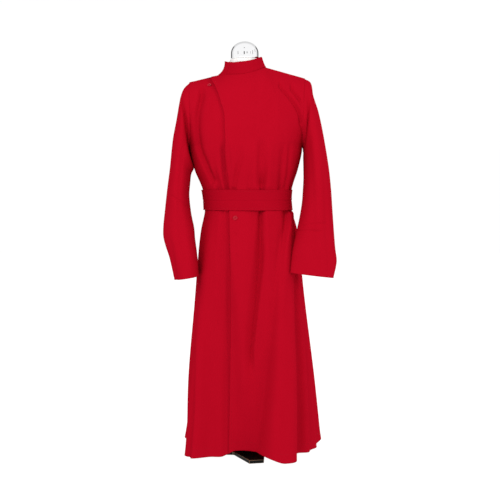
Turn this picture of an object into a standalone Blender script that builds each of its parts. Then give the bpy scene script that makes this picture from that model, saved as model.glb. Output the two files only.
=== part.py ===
"""Double-breasted cassock with a sash belt, worn by a limbless dress form on a stand.

Metres, +Z up. The front faces -Y, and +X is the wearer's left. The origin is the middle of the
stand's underside. The garment is one surface over (s, level): s runs from -1 at the wearer's right
side seam to +1 at the left one, and level from 0 at the hem through 1 at the underarms to 2 at the
shoulder seams and the neckline. The fronts, the back, the belt and the dress form all follow it.
"""
from collections import namedtuple
import math

import bmesh
import bpy
from mathutils import Vector

NAME = "cassock_on_dress_form"

# Driving sizes
CLOTH = 0.0020              # wall of the garment cloth
BELT_CLOTH = 0.0025         # the belt is a doubled band
GAP = 0.0003                # between pieces that touch
LAYER = CLOTH + GAP         # from the over front's face to the under front's face
HALF_SEAM = 0.00018         # each side of a sewn edge stops this far short of the seam
CHEST_Z = 1.070             # level of the underarm points
HEM_Z = 0.015
HEM_LIFT = 0.020            # the hem rides up this far near the centre front
LIFT_REACH = 0.30           # height by which the lift has faded out
LIFT_ANGLE, LIFT_HALF = -2, 28  # degrees from the centre front
LIFT_FLATNESS = 1.4
BELT_LOW, BELT_HIGH = 0.849, 0.918
SQUARE = 0.08               # fullness of the sections between their axes
ROW_HEIGHTS = (HEM_Z, 0.10, 0.20, 0.30, 0.40, 0.50, 0.60, 0.68, 0.75, 0.80, 0.835,
               BELT_LOW, 0.884, BELT_HIGH, 0.944, 0.98, 1.025, CHEST_Z)
YOKE_ROWS = 12              # rows from the chest line up to the shoulder seam
NORMAL_STEP = 0.004         # in s and level, on each side of a point, for its normal
TINY = 0.000001             # in s and level, for rounding
WELD = 0.00001              # points closer than this are one
SHARP_ANGLE = 45            # edges above this many degrees show sharp

Section = namedtuple("Section", "height right_side left_side front back")
Fold = namedtuple("Fold", "at_belt at_hem half_at_belt half_at_hem depth_at_belt depth_at_hem "
                          "flatness fades_at")
Crease = namedtuple("Crease", "side x0 z0 x1 z1 half_width depth")
Ring = namedtuple("Ring", "outer_x outer_z inner_x inner_z middle_y half_depth")
Button = namedtuple("Button", "name x z diameter on_over_front")

# Sections of the body of the garment: height, then how far each side lies from the axis
SECTIONS = [Section(*row) for row in (
    (0.015, 0.214, 0.248, 0.165, 0.215),
    (0.257, 0.202, 0.229, 0.158, 0.198),
    (0.530, 0.180, 0.202, 0.146, 0.170),
    (0.710, 0.165, 0.187, 0.135, 0.148),
    (0.782, 0.156, 0.178, 0.128, 0.134),
    (0.849, 0.143, 0.160, 0.117, 0.119),
    (0.918, 0.150, 0.159, 0.117, 0.117),
    (0.993, 0.180, 0.181, 0.130, 0.129),
    (1.070, 0.195, 0.195, 0.137, 0.134),
)]

# Folds of the skirt that carry on above the belt as gathers. Angles in degrees from the centre
# front towards +X, half widths in degrees, depths in metres, positive outwards.
FOLDS = [Fold(*row) for row in (
    (-50, -50, 12, 20, 0.000, 0.050, 1.0, 0.93),
    (-33, -7, 5, 23, -0.004, -0.036, 1.0, 1.03),
    (19, 4, 5, 16, -0.012, -0.010, 1.0, 1.05),
    (53, 23.5, 9, 17, 0.000, 0.076, 2.6, 0.93),
    (72, 49, 6, 14, -0.009, -0.026, 1.0, 1.04),
    (90, 78, 6, 10, -0.005, -0.008, 1.0, 1.01),
    (100, 122, 8, 25, 0.000, 0.064, 1.4, 0.93),
    (126, 152, 6, 14, -0.008, -0.022, 1.0, 1.04),
    (150, 182, 8, 20, 0.000, 0.040, 1.2, 0.93),
    (176, 207, 6, 14, -0.009, -0.022, 1.0, 1.05),
    (204, 232, 8, 22, 0.000, 0.050, 1.4, 0.93),
    (228, 258, 6, 13, -0.007, -0.014, 1.0, 1.01),
    (-66, -72, 6, 10, -0.006, -0.010, 1.0, 1.01),
)]
FOLD_GROWTH = 1.25          # how the folds deepen from the belt to the hem
FOLD_SPREAD = 0.7           # how they turn and widen, faster just below the belt

# Creases of the bodice, as straight runs in the X-Z plane on the front (-1) or the back (+1)
CREASES = [Crease(*row) for row in (
    (-1, -0.140, 1.244, -0.160, 1.136, 0.016, 0.0045),
    (-1, -0.160, 1.136, -0.138, 0.993, 0.016, 0.0055),
    (-1, 0.128, 1.266, 0.186, 1.156, 0.014, 0.0045),
    (-1, 0.150, 1.266, 0.190, 1.190, 0.010, 0.0030),
    (-1, -0.030, 0.924, -0.037, 1.018, 0.009, 0.0040),
    (-1, -0.064, 0.929, -0.068, 1.008, 0.007, 0.0030),
    (1, -0.120, 1.205, -0.168, 1.097, 0.016, 0.0040),
    (1, 0.115, 1.195, 0.165, 1.087, 0.016, 0.0045),
)]
CREASE_EDGE = 0.12          # the creases die out over this much of s beside a side seam or armhole
CREASE_TOP = 0.25           # and over this much of the level below the shoulder seam

# Shoulder seams and neckline
NECK_PART = 0.42            # the neckline takes |s| up to here, the shoulder seam the rest
NECK_X, NECK_HALF = -0.0030, 0.0705
NECK_Y = 0.004
NECK_RIGHT_Z, NECK_LEFT_Z = 1.319, 1.340
NECK_FRONT = (0.062, 1.320)  # distance in front of NECK_Y, height
NECK_BACK = (0.060, 1.345)
TIP_RIGHT = Vector((-0.196, 0.010, 1.290))
TIP_LEFT = Vector((0.204, 0.010, 1.303))
ARMHOLE_FRONT, ARMHOLE_BACK = 0.075, 0.062
ARMHOLE_BEND = 0.004        # how far the armhole edge bows in towards the body
YOKE_TURN = 62              # degrees the cloth turns through up to the neckline's middle, 90 at a seam

# Lines across the front: where each lies at the hem, belt and chest, then up the yoke
OVERLAP_LINE = ((0.0, -0.177), (0.30, -0.170), (0.60, -0.188), (0.78, -0.240), (0.88, -0.250),
                (1.0, -0.213), (1.20, -0.227), (1.33, -0.250), (1.50, -0.359), (1.65, -0.500),
                (1.80, -0.605), (2.0, -0.644))
NECK_LINE_SHARE = 0.62      # of the overlap line's s, for the line that runs up to the neck point
FRONT_COLUMNS = {"side_to_overlap": 11, "overlap_to_neck": 2, "neck_to_centre": 6,
                 "centre_to_neck": 6, "neck_to_side": 9}
UNDERLAP_COLUMNS = 10       # the under front runs on this many columns below the over front
BACK_COLUMNS = {"side_to_neck": 8, "neck_to_centre": 6, "centre_to_neck": 6, "neck_to_side": 8}
UNDER_EASE = 0.45           # width in s over which the under front comes up to the surface
UNDER_EASE_SHARE = 0.95     # at most this share of the way from the overlap to the side seam

# Sleeves: outer and inner edge of each ring, its middle in Y and its half depth
SLEEVE_POINTS = 24
ARMHOLE_GAP = 0.0004        # from the body's edge out to the sleeve's, which lies slanting to it
SLEEVE_LEFT = [Ring(*row) for row in (
    (0.2226, 1.2861, 0.1980, 1.0615, 0.002, 0.0715),
    (0.2310, 1.2424, 0.1988, 1.0407, -0.003, 0.0750),
    (0.2470, 1.1923, 0.1995, 1.0160, -0.009, 0.0775),
    (0.2576, 1.1461, 0.1997, 0.9903, -0.016, 0.0780),
    (0.2690, 1.0841, 0.1995, 0.9566, -0.026, 0.0770),
    (0.2830, 0.9932, 0.1965, 0.9140, -0.041, 0.0720),
    (0.2900, 0.9199, 0.1925, 0.8712, -0.054, 0.0660),
    (0.2940, 0.8493, 0.1835, 0.8215, -0.068, 0.0570),
    (0.2975, 0.7846, 0.1715, 0.7696, -0.084, 0.0450),
    (0.3015, 0.7217, 0.1595, 0.7147, -0.101, 0.0320),
    (0.3060, 0.6767, 0.1545, 0.6777, -0.110, 0.0240),
    (0.2944, 0.6215, 0.1506, 0.6392, -0.120, 0.0180),
)]
SLEEVE_RIGHT = [Ring(*row) for row in (
    (-0.2130, 1.2669, -0.1978, 1.0615, 0.002, 0.0715),
    (-0.2225, 1.2443, -0.1958, 1.0417, -0.002, 0.0745),
    (-0.2290, 1.2134, -0.1918, 1.0180, -0.007, 0.0780),
    (-0.2385, 1.1560, -0.1850, 0.9952, -0.014, 0.0810),
    (-0.2500, 1.0920, -0.1900, 0.9735, -0.022, 0.0830),
    (-0.2600, 0.9932, -0.1935, 0.9408, -0.031, 0.0820),
    (-0.2685, 0.9239, -0.1960, 0.8991, -0.040, 0.0780),
    (-0.2765, 0.8494, -0.1890, 0.8375, -0.049, 0.0700),
    (-0.2820, 0.7876, -0.1785, 0.7876, -0.059, 0.0630),
    (-0.2798, 0.7517, -0.1750, 0.7517, -0.066, 0.0610),
    (-0.2590, 0.6848, -0.1668, 0.6928, -0.078, 0.0580),
    (-0.2423, 0.6136, -0.1615, 0.6256, -0.088, 0.0540),
)]

# Collar and belt: bands whose ends lap. Angles in degrees round from the centre front.
COLLAR_END, COLLAR_LAP, COLLAR_STEP = -60, 30, 15
COLLAR_SHARES = (0.0, 0.5, 1.0)  # its rows, up from the neckline
COLLAR_HEIGHTS = ((-90, 0.034), (0, 0.033), (90, 0.035), (180, 0.036), (270, 0.034), (360, 0.033))
COLLAR_LEAN = ((-90, 0.000), (0, 0.004), (90, 0.012), (180, 0.006), (270, 0.000), (360, 0.003))
BELT_START, BELT_LAP, BELT_RAMP = -112, 27, 30
BELT_STEPS = 66
BELT_ROWS = (BELT_LOW, (BELT_LOW + BELT_HIGH) / 2, BELT_HIGH)

# Buttons: places seen from the front. The shoulder one is sewn to the under front.
BUTTONS = (Button("button_skirt", -0.0355, 0.8240, 0.0150, True),
           Button("button_shoulder", -0.1240, 1.2740, 0.0130, False))
BUTTON_THICK = 0.0028
BUTTON_SEAT = 0.0009        # above the cloth's middle point, which its rim clears by less
BUTTON_PROFILE = ((0.0, 0.57), (0.62, 0.57), (0.74, 1.0), (0.90, 1.0), (1.0, 0.6), (0.9, 0.0),
                  (0.0, 0.0))  # shares of its radius and of its thickness
BUTTON_STEPS = 24
PLACE_STEPS = 60            # halvings that find a button's place on the cloth

# Dress form and stand
FORM_BOTTOM_Z = 0.61
FORM_CLEAR = ((0.55, 0.052), (0.67, 0.046), (0.80, 0.026), (0.95, 0.016), (1.30, 0.013),
              (1.75, 0.012), (1.90, 0.0085), (2.00, 0.0050))
FORM_NECK_CLEAR = 0.005     # more room below the collar
FORM_NECK_BLEND = 4         # how soon beside the neck point that room is full
FORM_WELD = 0.0004          # its front and back sheets meet at the sides within this
FORM_NECK = ((0.0545, 1.3430), (0.0515, 1.3530), (0.0505, 1.3670))  # radius and height of its rings
FORM_ROWS = {"below_chest": 8, "above_chest": 9}
FORM_COLUMNS = {"side_to_neck": 4, "neck_to_centre": 4, "centre_to_neck": 4, "neck_to_side": 4}
FORM_NECK_X, FORM_NECK_Y = -0.0042, 0.004
CAP_RADIUS, CAP_TOP_Z, CAP_DOME_Z = 0.048, 1.429, 1.389
CAP_RIM_RADIUS, CAP_CHAMFER, CAP_RINGS, CAP_STEPS = 0.0470, 0.003, 8, 28
POLE_RADIUS, POLE_STEPS = 0.016, 24
FLANGE_RADIUS, FLANGE_HEIGHT, FLANGE_EDGE, FLANGE_FILLET = 0.045, 0.010, 0.006, 0.006
BASE_THICK, BASE_BEVEL = 0.012, 0.0015
FOOT_COUNT, FOOT_TURN = 4, 12  # degrees from straight ahead
FOOT_REACH, FOOT_TIP_HALF = 0.174, 0.025
FOOT_ROOT, FOOT_ROOT_HALF = 0.058, 0.0545

RED = (0.52, 0.006, 0.018, 1.0)
MATERIALS = {
    "cassock_cloth": (RED, 0.85, 0.0),
    "belt_cloth": (RED, 0.80, 0.0),
    "button_plastic": (RED, 0.35, 0.0),
    "form_jersey": ((0.80, 0.78, 0.74, 1.0), 0.90, 0.0),
    "chrome": ((0.86, 0.86, 0.87, 1.0), 0.06, 1.0),
    "black_steel": ((0.012, 0.012, 0.013, 1.0), 0.35, 0.0),
}


def ease(value):
    """Smooth step from 0 to 1."""
    value = min(1.0, max(0.0, value))
    return value * value * (3 - 2 * value)


def curve_value(knots, at, flat_end=False):
    """Value at `at` of a smooth curve through (position, value) knots."""
    if at <= knots[0][0]:
        return knots[0][1]
    if at >= knots[-1][0]:
        return knots[-1][1]
    slopes = []
    for i, (position, value) in enumerate(knots):
        before, after = knots[max(0, i - 1)], knots[min(len(knots) - 1, i + 1)]
        slopes.append((after[1] - before[1]) / (after[0] - before[0]))
    if flat_end:
        slopes[-1] = 0.0
    for i in range(len(knots) - 1):
        (x0, y0), (x1, y1) = knots[i], knots[i + 1]
        if at <= x1:
            span = x1 - x0
            t = (at - x0) / span
            return ((2 * t**3 - 3 * t**2 + 1) * y0 + (t**3 - 2 * t**2 + t) * span * slopes[i]
                    + (3 * t**2 - 2 * t**3) * y1 + (t**3 - t**2) * span * slopes[i + 1])


def section_size(column, height):
    """One column of SECTIONS at a height."""
    knots = [(row.height, getattr(row, column)) for row in SECTIONS]
    return curve_value(knots, height, flat_end=True)


def section_point(angle, height):
    """Point of the plain section, without folds, at an angle in degrees from the centre front."""
    sine, cosine = math.sin(math.radians(angle)), math.cos(math.radians(angle))
    half = section_size("left_side" if sine > 0 else "right_side", height)
    depth = section_size("front" if cosine > 0 else "back", height)
    return Vector((half * sine * (1 + SQUARE * cosine**2), -depth * cosine * (1 + SQUARE * sine**2),
                   height))


def angle_between(angle, centre):
    """Difference of two angles in degrees, from -180 to 180."""
    return (angle - centre + 180) % 360 - 180


def fold_depth(angle, height):
    """How far the folds carry the skirt out at an angle and height."""
    total = 0.0
    down = min(1.0, max(0.0, (BELT_LOW - height) / (BELT_LOW - HEM_Z)))
    spread, growth = down**FOLD_SPREAD, down**FOLD_GROWTH
    for fold in FOLDS:
        centre = fold.at_belt + (fold.at_hem - fold.at_belt) * spread
        half = fold.half_at_belt + (fold.half_at_hem - fold.half_at_belt) * spread
        away = abs(angle_between(angle, centre)) / half
        if away < 1:
            depth = fold.depth_at_belt + (fold.depth_at_hem - fold.depth_at_belt) * growth
            fade = 1 - ease((height - BELT_HIGH) / (fold.fades_at - BELT_HIGH))
            total += depth * fade * math.cos(math.pi / 2 * away**fold.flatness)**2
    return total


def crease_depth(point, side):
    """How far the bodice creases press the cloth in at a point of the front or back."""
    total = 0.0
    place = Vector((point.x, point.z))
    for crease in CREASES:
        if crease.side != side:
            continue
        start, run = Vector((crease.x0, crease.z0)), Vector((crease.x1 - crease.x0, crease.z1 - crease.z0))
        along = min(1.0, max(0.0, (place - start).dot(run) / run.length_squared))
        away = (place - start - run * along).length / crease.half_width
        if away < 1:
            total += crease.depth * math.cos(math.pi / 2 * away)**2
    return total


def neckline_point(angle):
    """Point of the neckline, 0 at the centre front, 180 at the centre back, 90 on +X."""
    sine, cosine = math.sin(math.radians(angle)), math.cos(math.radians(angle))
    middle = (NECK_RIGHT_Z + NECK_LEFT_Z) / 2
    depth, height = NECK_FRONT if cosine > 0 else NECK_BACK
    return Vector((NECK_X + NECK_HALF * sine, NECK_Y - depth * cosine,
                   middle + (NECK_LEFT_Z - NECK_RIGHT_Z) / 2 * sine + (height - middle) * cosine**2))


def top_point(s, side):
    """Point of the shoulder seam or the neckline at s. side is -1 on the front, +1 on the back."""
    if abs(s) <= NECK_PART:
        angle = 90 * s / NECK_PART
        return neckline_point(angle if side < 0 else 180 - angle)
    start = neckline_point(math.copysign(90, s))
    tip = TIP_LEFT if s > 0 else TIP_RIGHT
    return start.lerp(tip, (abs(s) - NECK_PART) / (1 - NECK_PART))


def plain_point(s, level, side):
    """Surface without folds. level 0 is the hem, 1 the chest line, 2 the shoulder or neckline."""
    angle = 90 * s if side < 0 else 180 - 90 * s
    if level <= 1:
        height = HEM_Z + (CHEST_Z - HEM_Z) * level
        near_front = max(0.0, 1 - abs(angle_between(angle, LIFT_ANGLE)) / LIFT_HALF)
        lift = HEM_LIFT * ease(near_front * LIFT_FLATNESS) * max(0.0, 1 - height / LIFT_REACH)**2
        point = section_point(angle, height)
        point.z += lift
        return point
    t = level - 1
    low, top = section_point(angle, CHEST_Z), top_point(s, side)
    along_neck = min(1.0, abs(s) / NECK_PART)
    end = math.radians(YOKE_TURN + (90 - YOKE_TURN) * ease(along_neck))
    turn = end * t
    inward = (math.cos(turn) - math.cos(end)) / (1 - math.cos(end))
    arm, bow = s * s, math.sin(math.pi * t)
    depth = ARMHOLE_FRONT if side < 0 else ARMHOLE_BACK
    rise = arm * (1 - math.cos(math.pi * t)) / 2 + (1 - arm) * math.sin(turn) / math.sin(end)
    return Vector((low.x + (top.x - low.x) * ease(t) - math.copysign(ARMHOLE_BEND, s) * abs(s)**3 * bow,
                   top.y + (low.y - top.y) * inward + side * arm * depth * bow,
                   low.z + (top.z - low.z) * rise))


def level_of_height(height):
    return (height - HEM_Z) / (CHEST_Z - HEM_Z)


def surface_normal(s, level, side):
    """Outward normal of the plain surface."""
    s0, s1 = max(-1.0, s - NORMAL_STEP), min(1.0, s + NORMAL_STEP)
    l0, l1 = max(0.0, level - NORMAL_STEP), min(2.0, level + NORMAL_STEP)
    across = plain_point(s1, level, side) - plain_point(s0, level, side)
    upward = plain_point(s, l1, side) - plain_point(s, l0, side)
    return (across.cross(upward) * -side).normalized()


def cloth_point(s, level, side):
    """Surface of the garment with its folds and creases."""
    point, normal = plain_point(s, level, side), surface_normal(s, level, side)
    angle = 90 * s if side < 0 else 180 - 90 * s
    height = point.z if level <= 1 else CHEST_Z
    edge = ease((1 - abs(s)) / CREASE_EDGE) * ease((2 - level) / CREASE_TOP)
    if level <= 1:
        normal.z = 0
    return point + normal * (fold_depth(angle, height) - crease_depth(point, side) * edge)


LEVELS = ([level_of_height(height) for height in ROW_HEIGHTS]
          + [1 + (i + 1) / YOKE_ROWS for i in range(YOKE_ROWS)])


def lines_through(keys, columns):
    """Values from one key to the next, in as many steps as each stretch has columns."""
    lines = [keys[0]]
    for start, end, count in zip(keys, keys[1:], columns.values()):
        lines += [start + (end - start) * (i + 1) / count for i in range(count)]
    return lines


def front_lines(level):
    """s of every line across the front at a level: from the wearer's right seam to the left one."""
    overlap = curve_value(OVERLAP_LINE, level)
    neck_right = overlap * NECK_LINE_SHARE
    neck_right += (-NECK_PART - neck_right) * ease(level - 1)
    return lines_through((-1.0, overlap, neck_right, 0.0, NECK_PART, 1.0), FRONT_COLUMNS)


def grid_normals(grid, closed=False):
    """Normals of a grid of points, facing whoever sees the rows rise and the columns run right."""
    rows, columns = len(grid), len(grid[0])
    normals = []
    for i in range(rows):
        line = []
        for j in range(columns):
            before, after = j - 1, (j + 1) % columns
            if not closed:
                before, after = max(0, before), min(columns - 1, j + 1)
            across = grid[i][after] - grid[i][before]
            upward = grid[min(rows - 1, i + 1)][j] - grid[max(0, i - 1)][j]
            line.append(across.cross(upward).normalized())
        normals.append(line)
    return normals


def new_object(name, mesh, material, smooth_angle=None):
    """Put a mesh in the part's collection with its material."""
    item = bpy.data.objects.new(name, mesh)
    bpy.data.collections[NAME].objects.link(item)
    mesh.materials.append(bpy.data.materials[material])
    if smooth_angle is not None:
        mesh.shade_smooth()
        mesh.set_sharp_from_angle(angle=math.radians(smooth_angle))
    return item


def wall_between(name, outer, inner, material, closed=False):
    """Closed cloth wall lofted between its outer and inner grid of points."""
    work = bmesh.new()
    skins = [[[work.verts.new(point) for point in line] for line in grid] for grid in (outer, inner)]
    rows, columns = len(outer), len(outer[0])
    steps = range(columns if closed else columns - 1)
    for skin, facing in zip(skins, (1, -1)):
        for i in range(rows - 1):
            for j in steps:
                k = (j + 1) % columns
                corners = (skin[i][j], skin[i][k], skin[i + 1][k], skin[i + 1][j])
                work.faces.new(corners if facing > 0 else (corners[0], *corners[:0:-1]))
    top, bottom = rows - 1, 0
    for j in steps:
        k = (j + 1) % columns
        work.faces.new((skins[1][bottom][j], skins[1][bottom][k], skins[0][bottom][k], skins[0][bottom][j]))
        work.faces.new((skins[0][top][j], skins[0][top][k], skins[1][top][k], skins[1][top][j]))
    if not closed:
        for i in range(rows - 1):
            for j, low, high in ((0, i, i + 1), (columns - 1, i + 1, i)):
                work.faces.new((skins[0][low][j], skins[0][high][j], skins[1][high][j], skins[1][low][j]))
    mesh = bpy.data.meshes.new(name)
    work.to_mesh(mesh)
    work.free()
    return new_object(name, mesh, material, SHARP_ANGLE)


def shifted(grid, normals, distance):
    return [[point + normal * distance for point, normal in zip(line, normal_line)]
            for line, normal_line in zip(grid, normals)]


def on_seam(s, level):
    """Whether a point lies where a front is sewn to the back."""
    shoulder = level > 2 - TINY and abs(s) > NECK_PART - TINY
    side_seam = level < 1 + TINY and abs(s) > 1 - TINY
    return shoulder or side_seam


def panel_grid(places, side):
    """Points and normals of a front or the back. Its seam edges stop half a gap short and are cut
    square to the Y axis, so that the two sides of a seam face each other."""
    grid = []
    for level, lines in zip(LEVELS, places):
        grid.append([cloth_point(s, level, -1 if on_seam(s, level) else side) for s in lines])
    normals = grid_normals(grid)
    for i, (level, lines) in enumerate(zip(LEVELS, places)):
        for j, s in enumerate(lines):
            if on_seam(s, level):
                grid[i][j].y += side * HALF_SEAM
                normals[i][j].y = 0
                normals[i][j].normalize()
    return grid, normals


def make_fronts():
    """The over front, and the under front that lies one layer below it and comes up to the
    surface towards the wearer's right side seam."""
    edge = FRONT_COLUMNS["side_to_overlap"]
    places = [front_lines(level) for level in LEVELS]
    grid, normals = panel_grid(places, -1)
    over, over_normals = [line[edge:] for line in grid], [line[edge:] for line in normals]
    wall_between("front_left", over, shifted(over, over_normals, -CLOTH), "cassock_cloth")
    last = edge + UNDERLAP_COLUMNS + 1
    under = []
    for lines, points, directions in zip(places, grid, normals):
        width = min(UNDER_EASE, (1 + lines[edge]) * UNDER_EASE_SHARE)
        under.append([point - direction * LAYER * ease((s - lines[edge]) / width + 1)
                      for s, point, direction in zip(lines[:last], points, directions)])
    under_normals = [line[:last] for line in normals]
    wall_between("front_right", under, shifted(under, under_normals, -CLOTH), "cassock_cloth")


def make_back():
    """The back in one piece, from the wearer's left side seam to the right one."""
    lines = lines_through((1.0, NECK_PART, 0.0, -NECK_PART, -1.0), BACK_COLUMNS)
    grid, normals = panel_grid([lines] * len(LEVELS), 1)
    return wall_between("back", grid, shifted(grid, normals, -CLOTH), "cassock_cloth")


def make_sleeve(name, rings, hand):
    """Tube from the armhole edge through the rings. hand is +1 on +X and -1 on -X."""
    half = SLEEVE_POINTS // 2
    armhole = []
    for k in range(SLEEVE_POINTS):
        side = -1 if k <= half else 1
        level = 2 - k / half if k <= half else k / half
        point = cloth_point(hand, level, side)
        armhole.append(point + Vector((hand * ARMHOLE_GAP, 0, 0)))
    grid = [armhole]
    for ring in rings:
        outer = Vector((ring.outer_x, ring.middle_y, ring.outer_z))
        inner = Vector((ring.inner_x, ring.middle_y, ring.inner_z))
        middle, reach = (outer + inner) / 2, (outer - inner) / 2
        points = []
        for k in range(SLEEVE_POINTS):
            angle = 2 * math.pi * k / SLEEVE_POINTS
            forward = Vector((0, -ring.half_depth * math.sin(angle), 0))
            points.append(middle + reach * math.cos(angle) + forward)
        grid.append(points)
    if hand > 0:
        grid = [points[::-1] for points in grid]
    normals = grid_normals(grid, closed=True)
    for normal in normals[0]:
        normal.x = 0
        normal.normalize()
    return wall_between(name, grid, shifted(grid, normals, -CLOTH), "cassock_cloth", True)


def make_collar():
    """Standing band that rises from the neckline. Its right end passes below its left end."""
    outer, inner = [[] for _ in COLLAR_SHARES], [[] for _ in COLLAR_SHARES]
    lap_starts = COLLAR_END + 360
    for angle in range(COLLAR_END, lap_starts + COLLAR_LAP + 1, COLLAR_STEP):
        base = neckline_point(angle)
        out = Vector((base.x - NECK_X, base.y - NECK_Y, 0)).normalized()
        sunk = LAYER * ease((angle - lap_starts) / COLLAR_LAP + 1)
        height = curve_value(COLLAR_HEIGHTS, angle)
        lean = curve_value(COLLAR_LEAN, angle)
        for outside, inside, share in zip(outer, inner, COLLAR_SHARES):
            point = base - out * (sunk + lean * share) + Vector((0, 0, GAP + height * share))
            outside.append(point)
            inside.append(point - out * CLOTH)
    return wall_between("collar", outer, inner, "cassock_cloth")


def make_belt():
    """Flat sash round the waist. It starts below its own end, which laps over it at the side."""
    outer, inner = [[] for _ in BELT_ROWS], [[] for _ in BELT_ROWS]
    turn = 360 + BELT_LAP
    step = turn / BELT_STEPS
    for j in range(BELT_STEPS + 1):
        past_start = step * j
        angle = BELT_START + past_start
        raised = (BELT_CLOTH + GAP) * ease((past_start + step - 360) / BELT_RAMP + 1)
        for outside, inside, height in zip(outer, inner, BELT_ROWS):
            point = section_point(angle, height)
            along = section_point(angle + step, height) - section_point(angle - step, height)
            out = Vector((along.y, -along.x, 0)).normalized()
            inside.append(point + out * (GAP + raised))
            outside.append(point + out * (GAP + raised + BELT_CLOTH))
    return wall_between("belt", outer, inner, "belt_cloth")


def front_at(x, z):
    """s and level of the front's surface at a place seen from the front, by steps that close in."""
    s, level = 0.0, level_of_height(min(z, CHEST_Z))
    half_width = section_size("left_side", z)
    rise = CHEST_Z - HEM_Z if z < CHEST_Z else TIP_LEFT.z - CHEST_Z
    for _ in range(PLACE_STEPS):
        point = cloth_point(s, level, -1)
        s += (x - point.x) / half_width / 2
        level += (z - point.z) / rise / 2
    return s, level


def make_button(button):
    """Round button lying on a front, turned to face out."""
    s, level = front_at(button.x, button.z)
    radius = button.diameter / 2
    beside = radius / section_size("left_side", button.z)
    across = cloth_point(s + beside, level, -1) - cloth_point(s - beside, level, -1)
    upward = cloth_point(s, level + radius, -1) - cloth_point(s, level - radius, -1)
    normal = across.cross(upward).normalized()
    sunk = 0.0 if button.on_over_front else LAYER
    profile = [(radius * share, BUTTON_THICK * height) for share, height in BUTTON_PROFILE]
    item = turned(button.name, profile, BUTTON_STEPS, "button_plastic")
    item.location = cloth_point(s, level, -1) + normal * (BUTTON_SEAT - sunk)
    item.rotation_euler = normal.to_track_quat("Z", "Y").to_euler()
    return item


def turned(name, profile, steps, material):
    """Solid of revolution about Z from a profile of (radius, height), outer side from the top down."""
    mesh = bpy.data.meshes.new(name)
    points = [(radius, 0.0, height) for radius, height in profile]
    mesh.from_pydata(points, [(i, i + 1) for i in range(len(points) - 1)], [])
    item = new_object(name, mesh, material)
    screw = item.modifiers.new("Turn", "SCREW")
    screw.steps = screw.render_steps = steps
    screw.use_merge_vertices = True
    screw.merge_threshold = WELD
    screw.use_smooth_shade = True
    return item


def form_point(s, level, side):
    """Surface of the dress form: the garment's own plain surface, moved in."""
    normal = surface_normal(s, level, side)
    if level <= 1:
        normal.z = 0
    inside_neck = ease((1 - abs(s) / NECK_PART) * FORM_NECK_BLEND)
    below_collar = FORM_NECK_CLEAR * inside_neck * ease(level - 1)
    return plain_point(s, level, side) - normal * (curve_value(FORM_CLEAR, level) + below_collar)


def make_form():
    """Smooth torso without limbs: front and back sheets, closed at the armholes, neck and bottom."""
    work = bmesh.new()
    bottom = level_of_height(FORM_BOTTOM_Z)
    levels = lines_through((bottom, 1.0, 2.0), FORM_ROWS)
    places = lines_through((1.0, NECK_PART, 0.0, -NECK_PART, -1.0), FORM_COLUMNS)
    steps = len(places) - 1
    sheets = {}
    for side in (-1, 1):
        sheets[side] = [[work.verts.new(form_point(s, level, side)) for s in places] for level in levels]
        for low, high in zip(sheets[side], sheets[side][1:]):
            for j in range(steps):
                corners = (low[j], low[j + 1], high[j + 1], high[j])
                work.faces.new(corners if side > 0 else corners[::-1])
    for j in (0, steps):
        for i in range(len(levels) - 1):
            if levels[i] < 1:
                continue
            corners = (sheets[-1][i][j], sheets[1][i][j], sheets[1][i + 1][j], sheets[-1][i + 1][j])
            work.faces.new(corners if j == 0 else corners[::-1])
    bmesh.ops.remove_doubles(work, verts=work.verts, dist=FORM_WELD)
    rim = [edge for edge in work.edges if edge.is_boundary]
    neck = sorted({vert for edge in rim for vert in edge.verts if vert.co.z > CHEST_Z},
                  key=lambda vert: math.atan2(vert.co.x - NECK_X, NECK_Y - vert.co.y))
    ring = neck
    for radius, height in FORM_NECK:
        above = []
        for vert in neck:
            turn = math.atan2(vert.co.x - NECK_X, NECK_Y - vert.co.y)
            above.append(work.verts.new((FORM_NECK_X + radius * math.sin(turn),
                                         FORM_NECK_Y - radius * math.cos(turn), height)))
        for j in range(len(ring)):
            k = (j + 1) % len(ring)
            work.faces.new((ring[j], ring[k], above[k], above[j]))
        ring = above
    work.faces.new(ring)
    bmesh.ops.holes_fill(work, edges=[edge for edge in work.edges if edge.is_boundary])
    bmesh.ops.recalc_face_normals(work, faces=work.faces)
    mesh = bpy.data.meshes.new("form_body")
    work.to_mesh(mesh)
    work.free()
    return new_object("form_body", mesh, "form_jersey", SHARP_ANGLE)


def make_cap():
    """Polished dome that closes the form's neck."""
    low = FORM_NECK[-1][1] + GAP
    profile = []
    for i in range(CAP_RINGS + 1):
        turn = math.pi / 2 * i / CAP_RINGS
        rise = (CAP_TOP_Z - CAP_DOME_Z) * math.cos(turn)
        profile.append((CAP_RADIUS * math.sin(turn), CAP_DOME_Z + rise))
    profile += [(CAP_RIM_RADIUS, low + CAP_CHAMFER), (CAP_RIM_RADIUS - CAP_CHAMFER / 3, low), (0.0, low)]
    item = turned("neck_cap", profile, CAP_STEPS, "chrome")
    item.location = (FORM_NECK_X, FORM_NECK_Y, 0)
    return item


def make_pole():
    """Post with a flange that stands on the base and carries the form."""
    top, low = FORM_BOTTOM_Z - GAP, BASE_THICK + GAP
    profile = ((0.0, top), (POLE_RADIUS, top), (POLE_RADIUS, low + FLANGE_HEIGHT + FLANGE_FILLET),
               (POLE_RADIUS + FLANGE_FILLET, low + FLANGE_HEIGHT), (FLANGE_RADIUS, low + FLANGE_EDGE),
               (FLANGE_RADIUS, low), (0.0, low))
    return turned("stand_pole", profile, POLE_STEPS, "black_steel")


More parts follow.
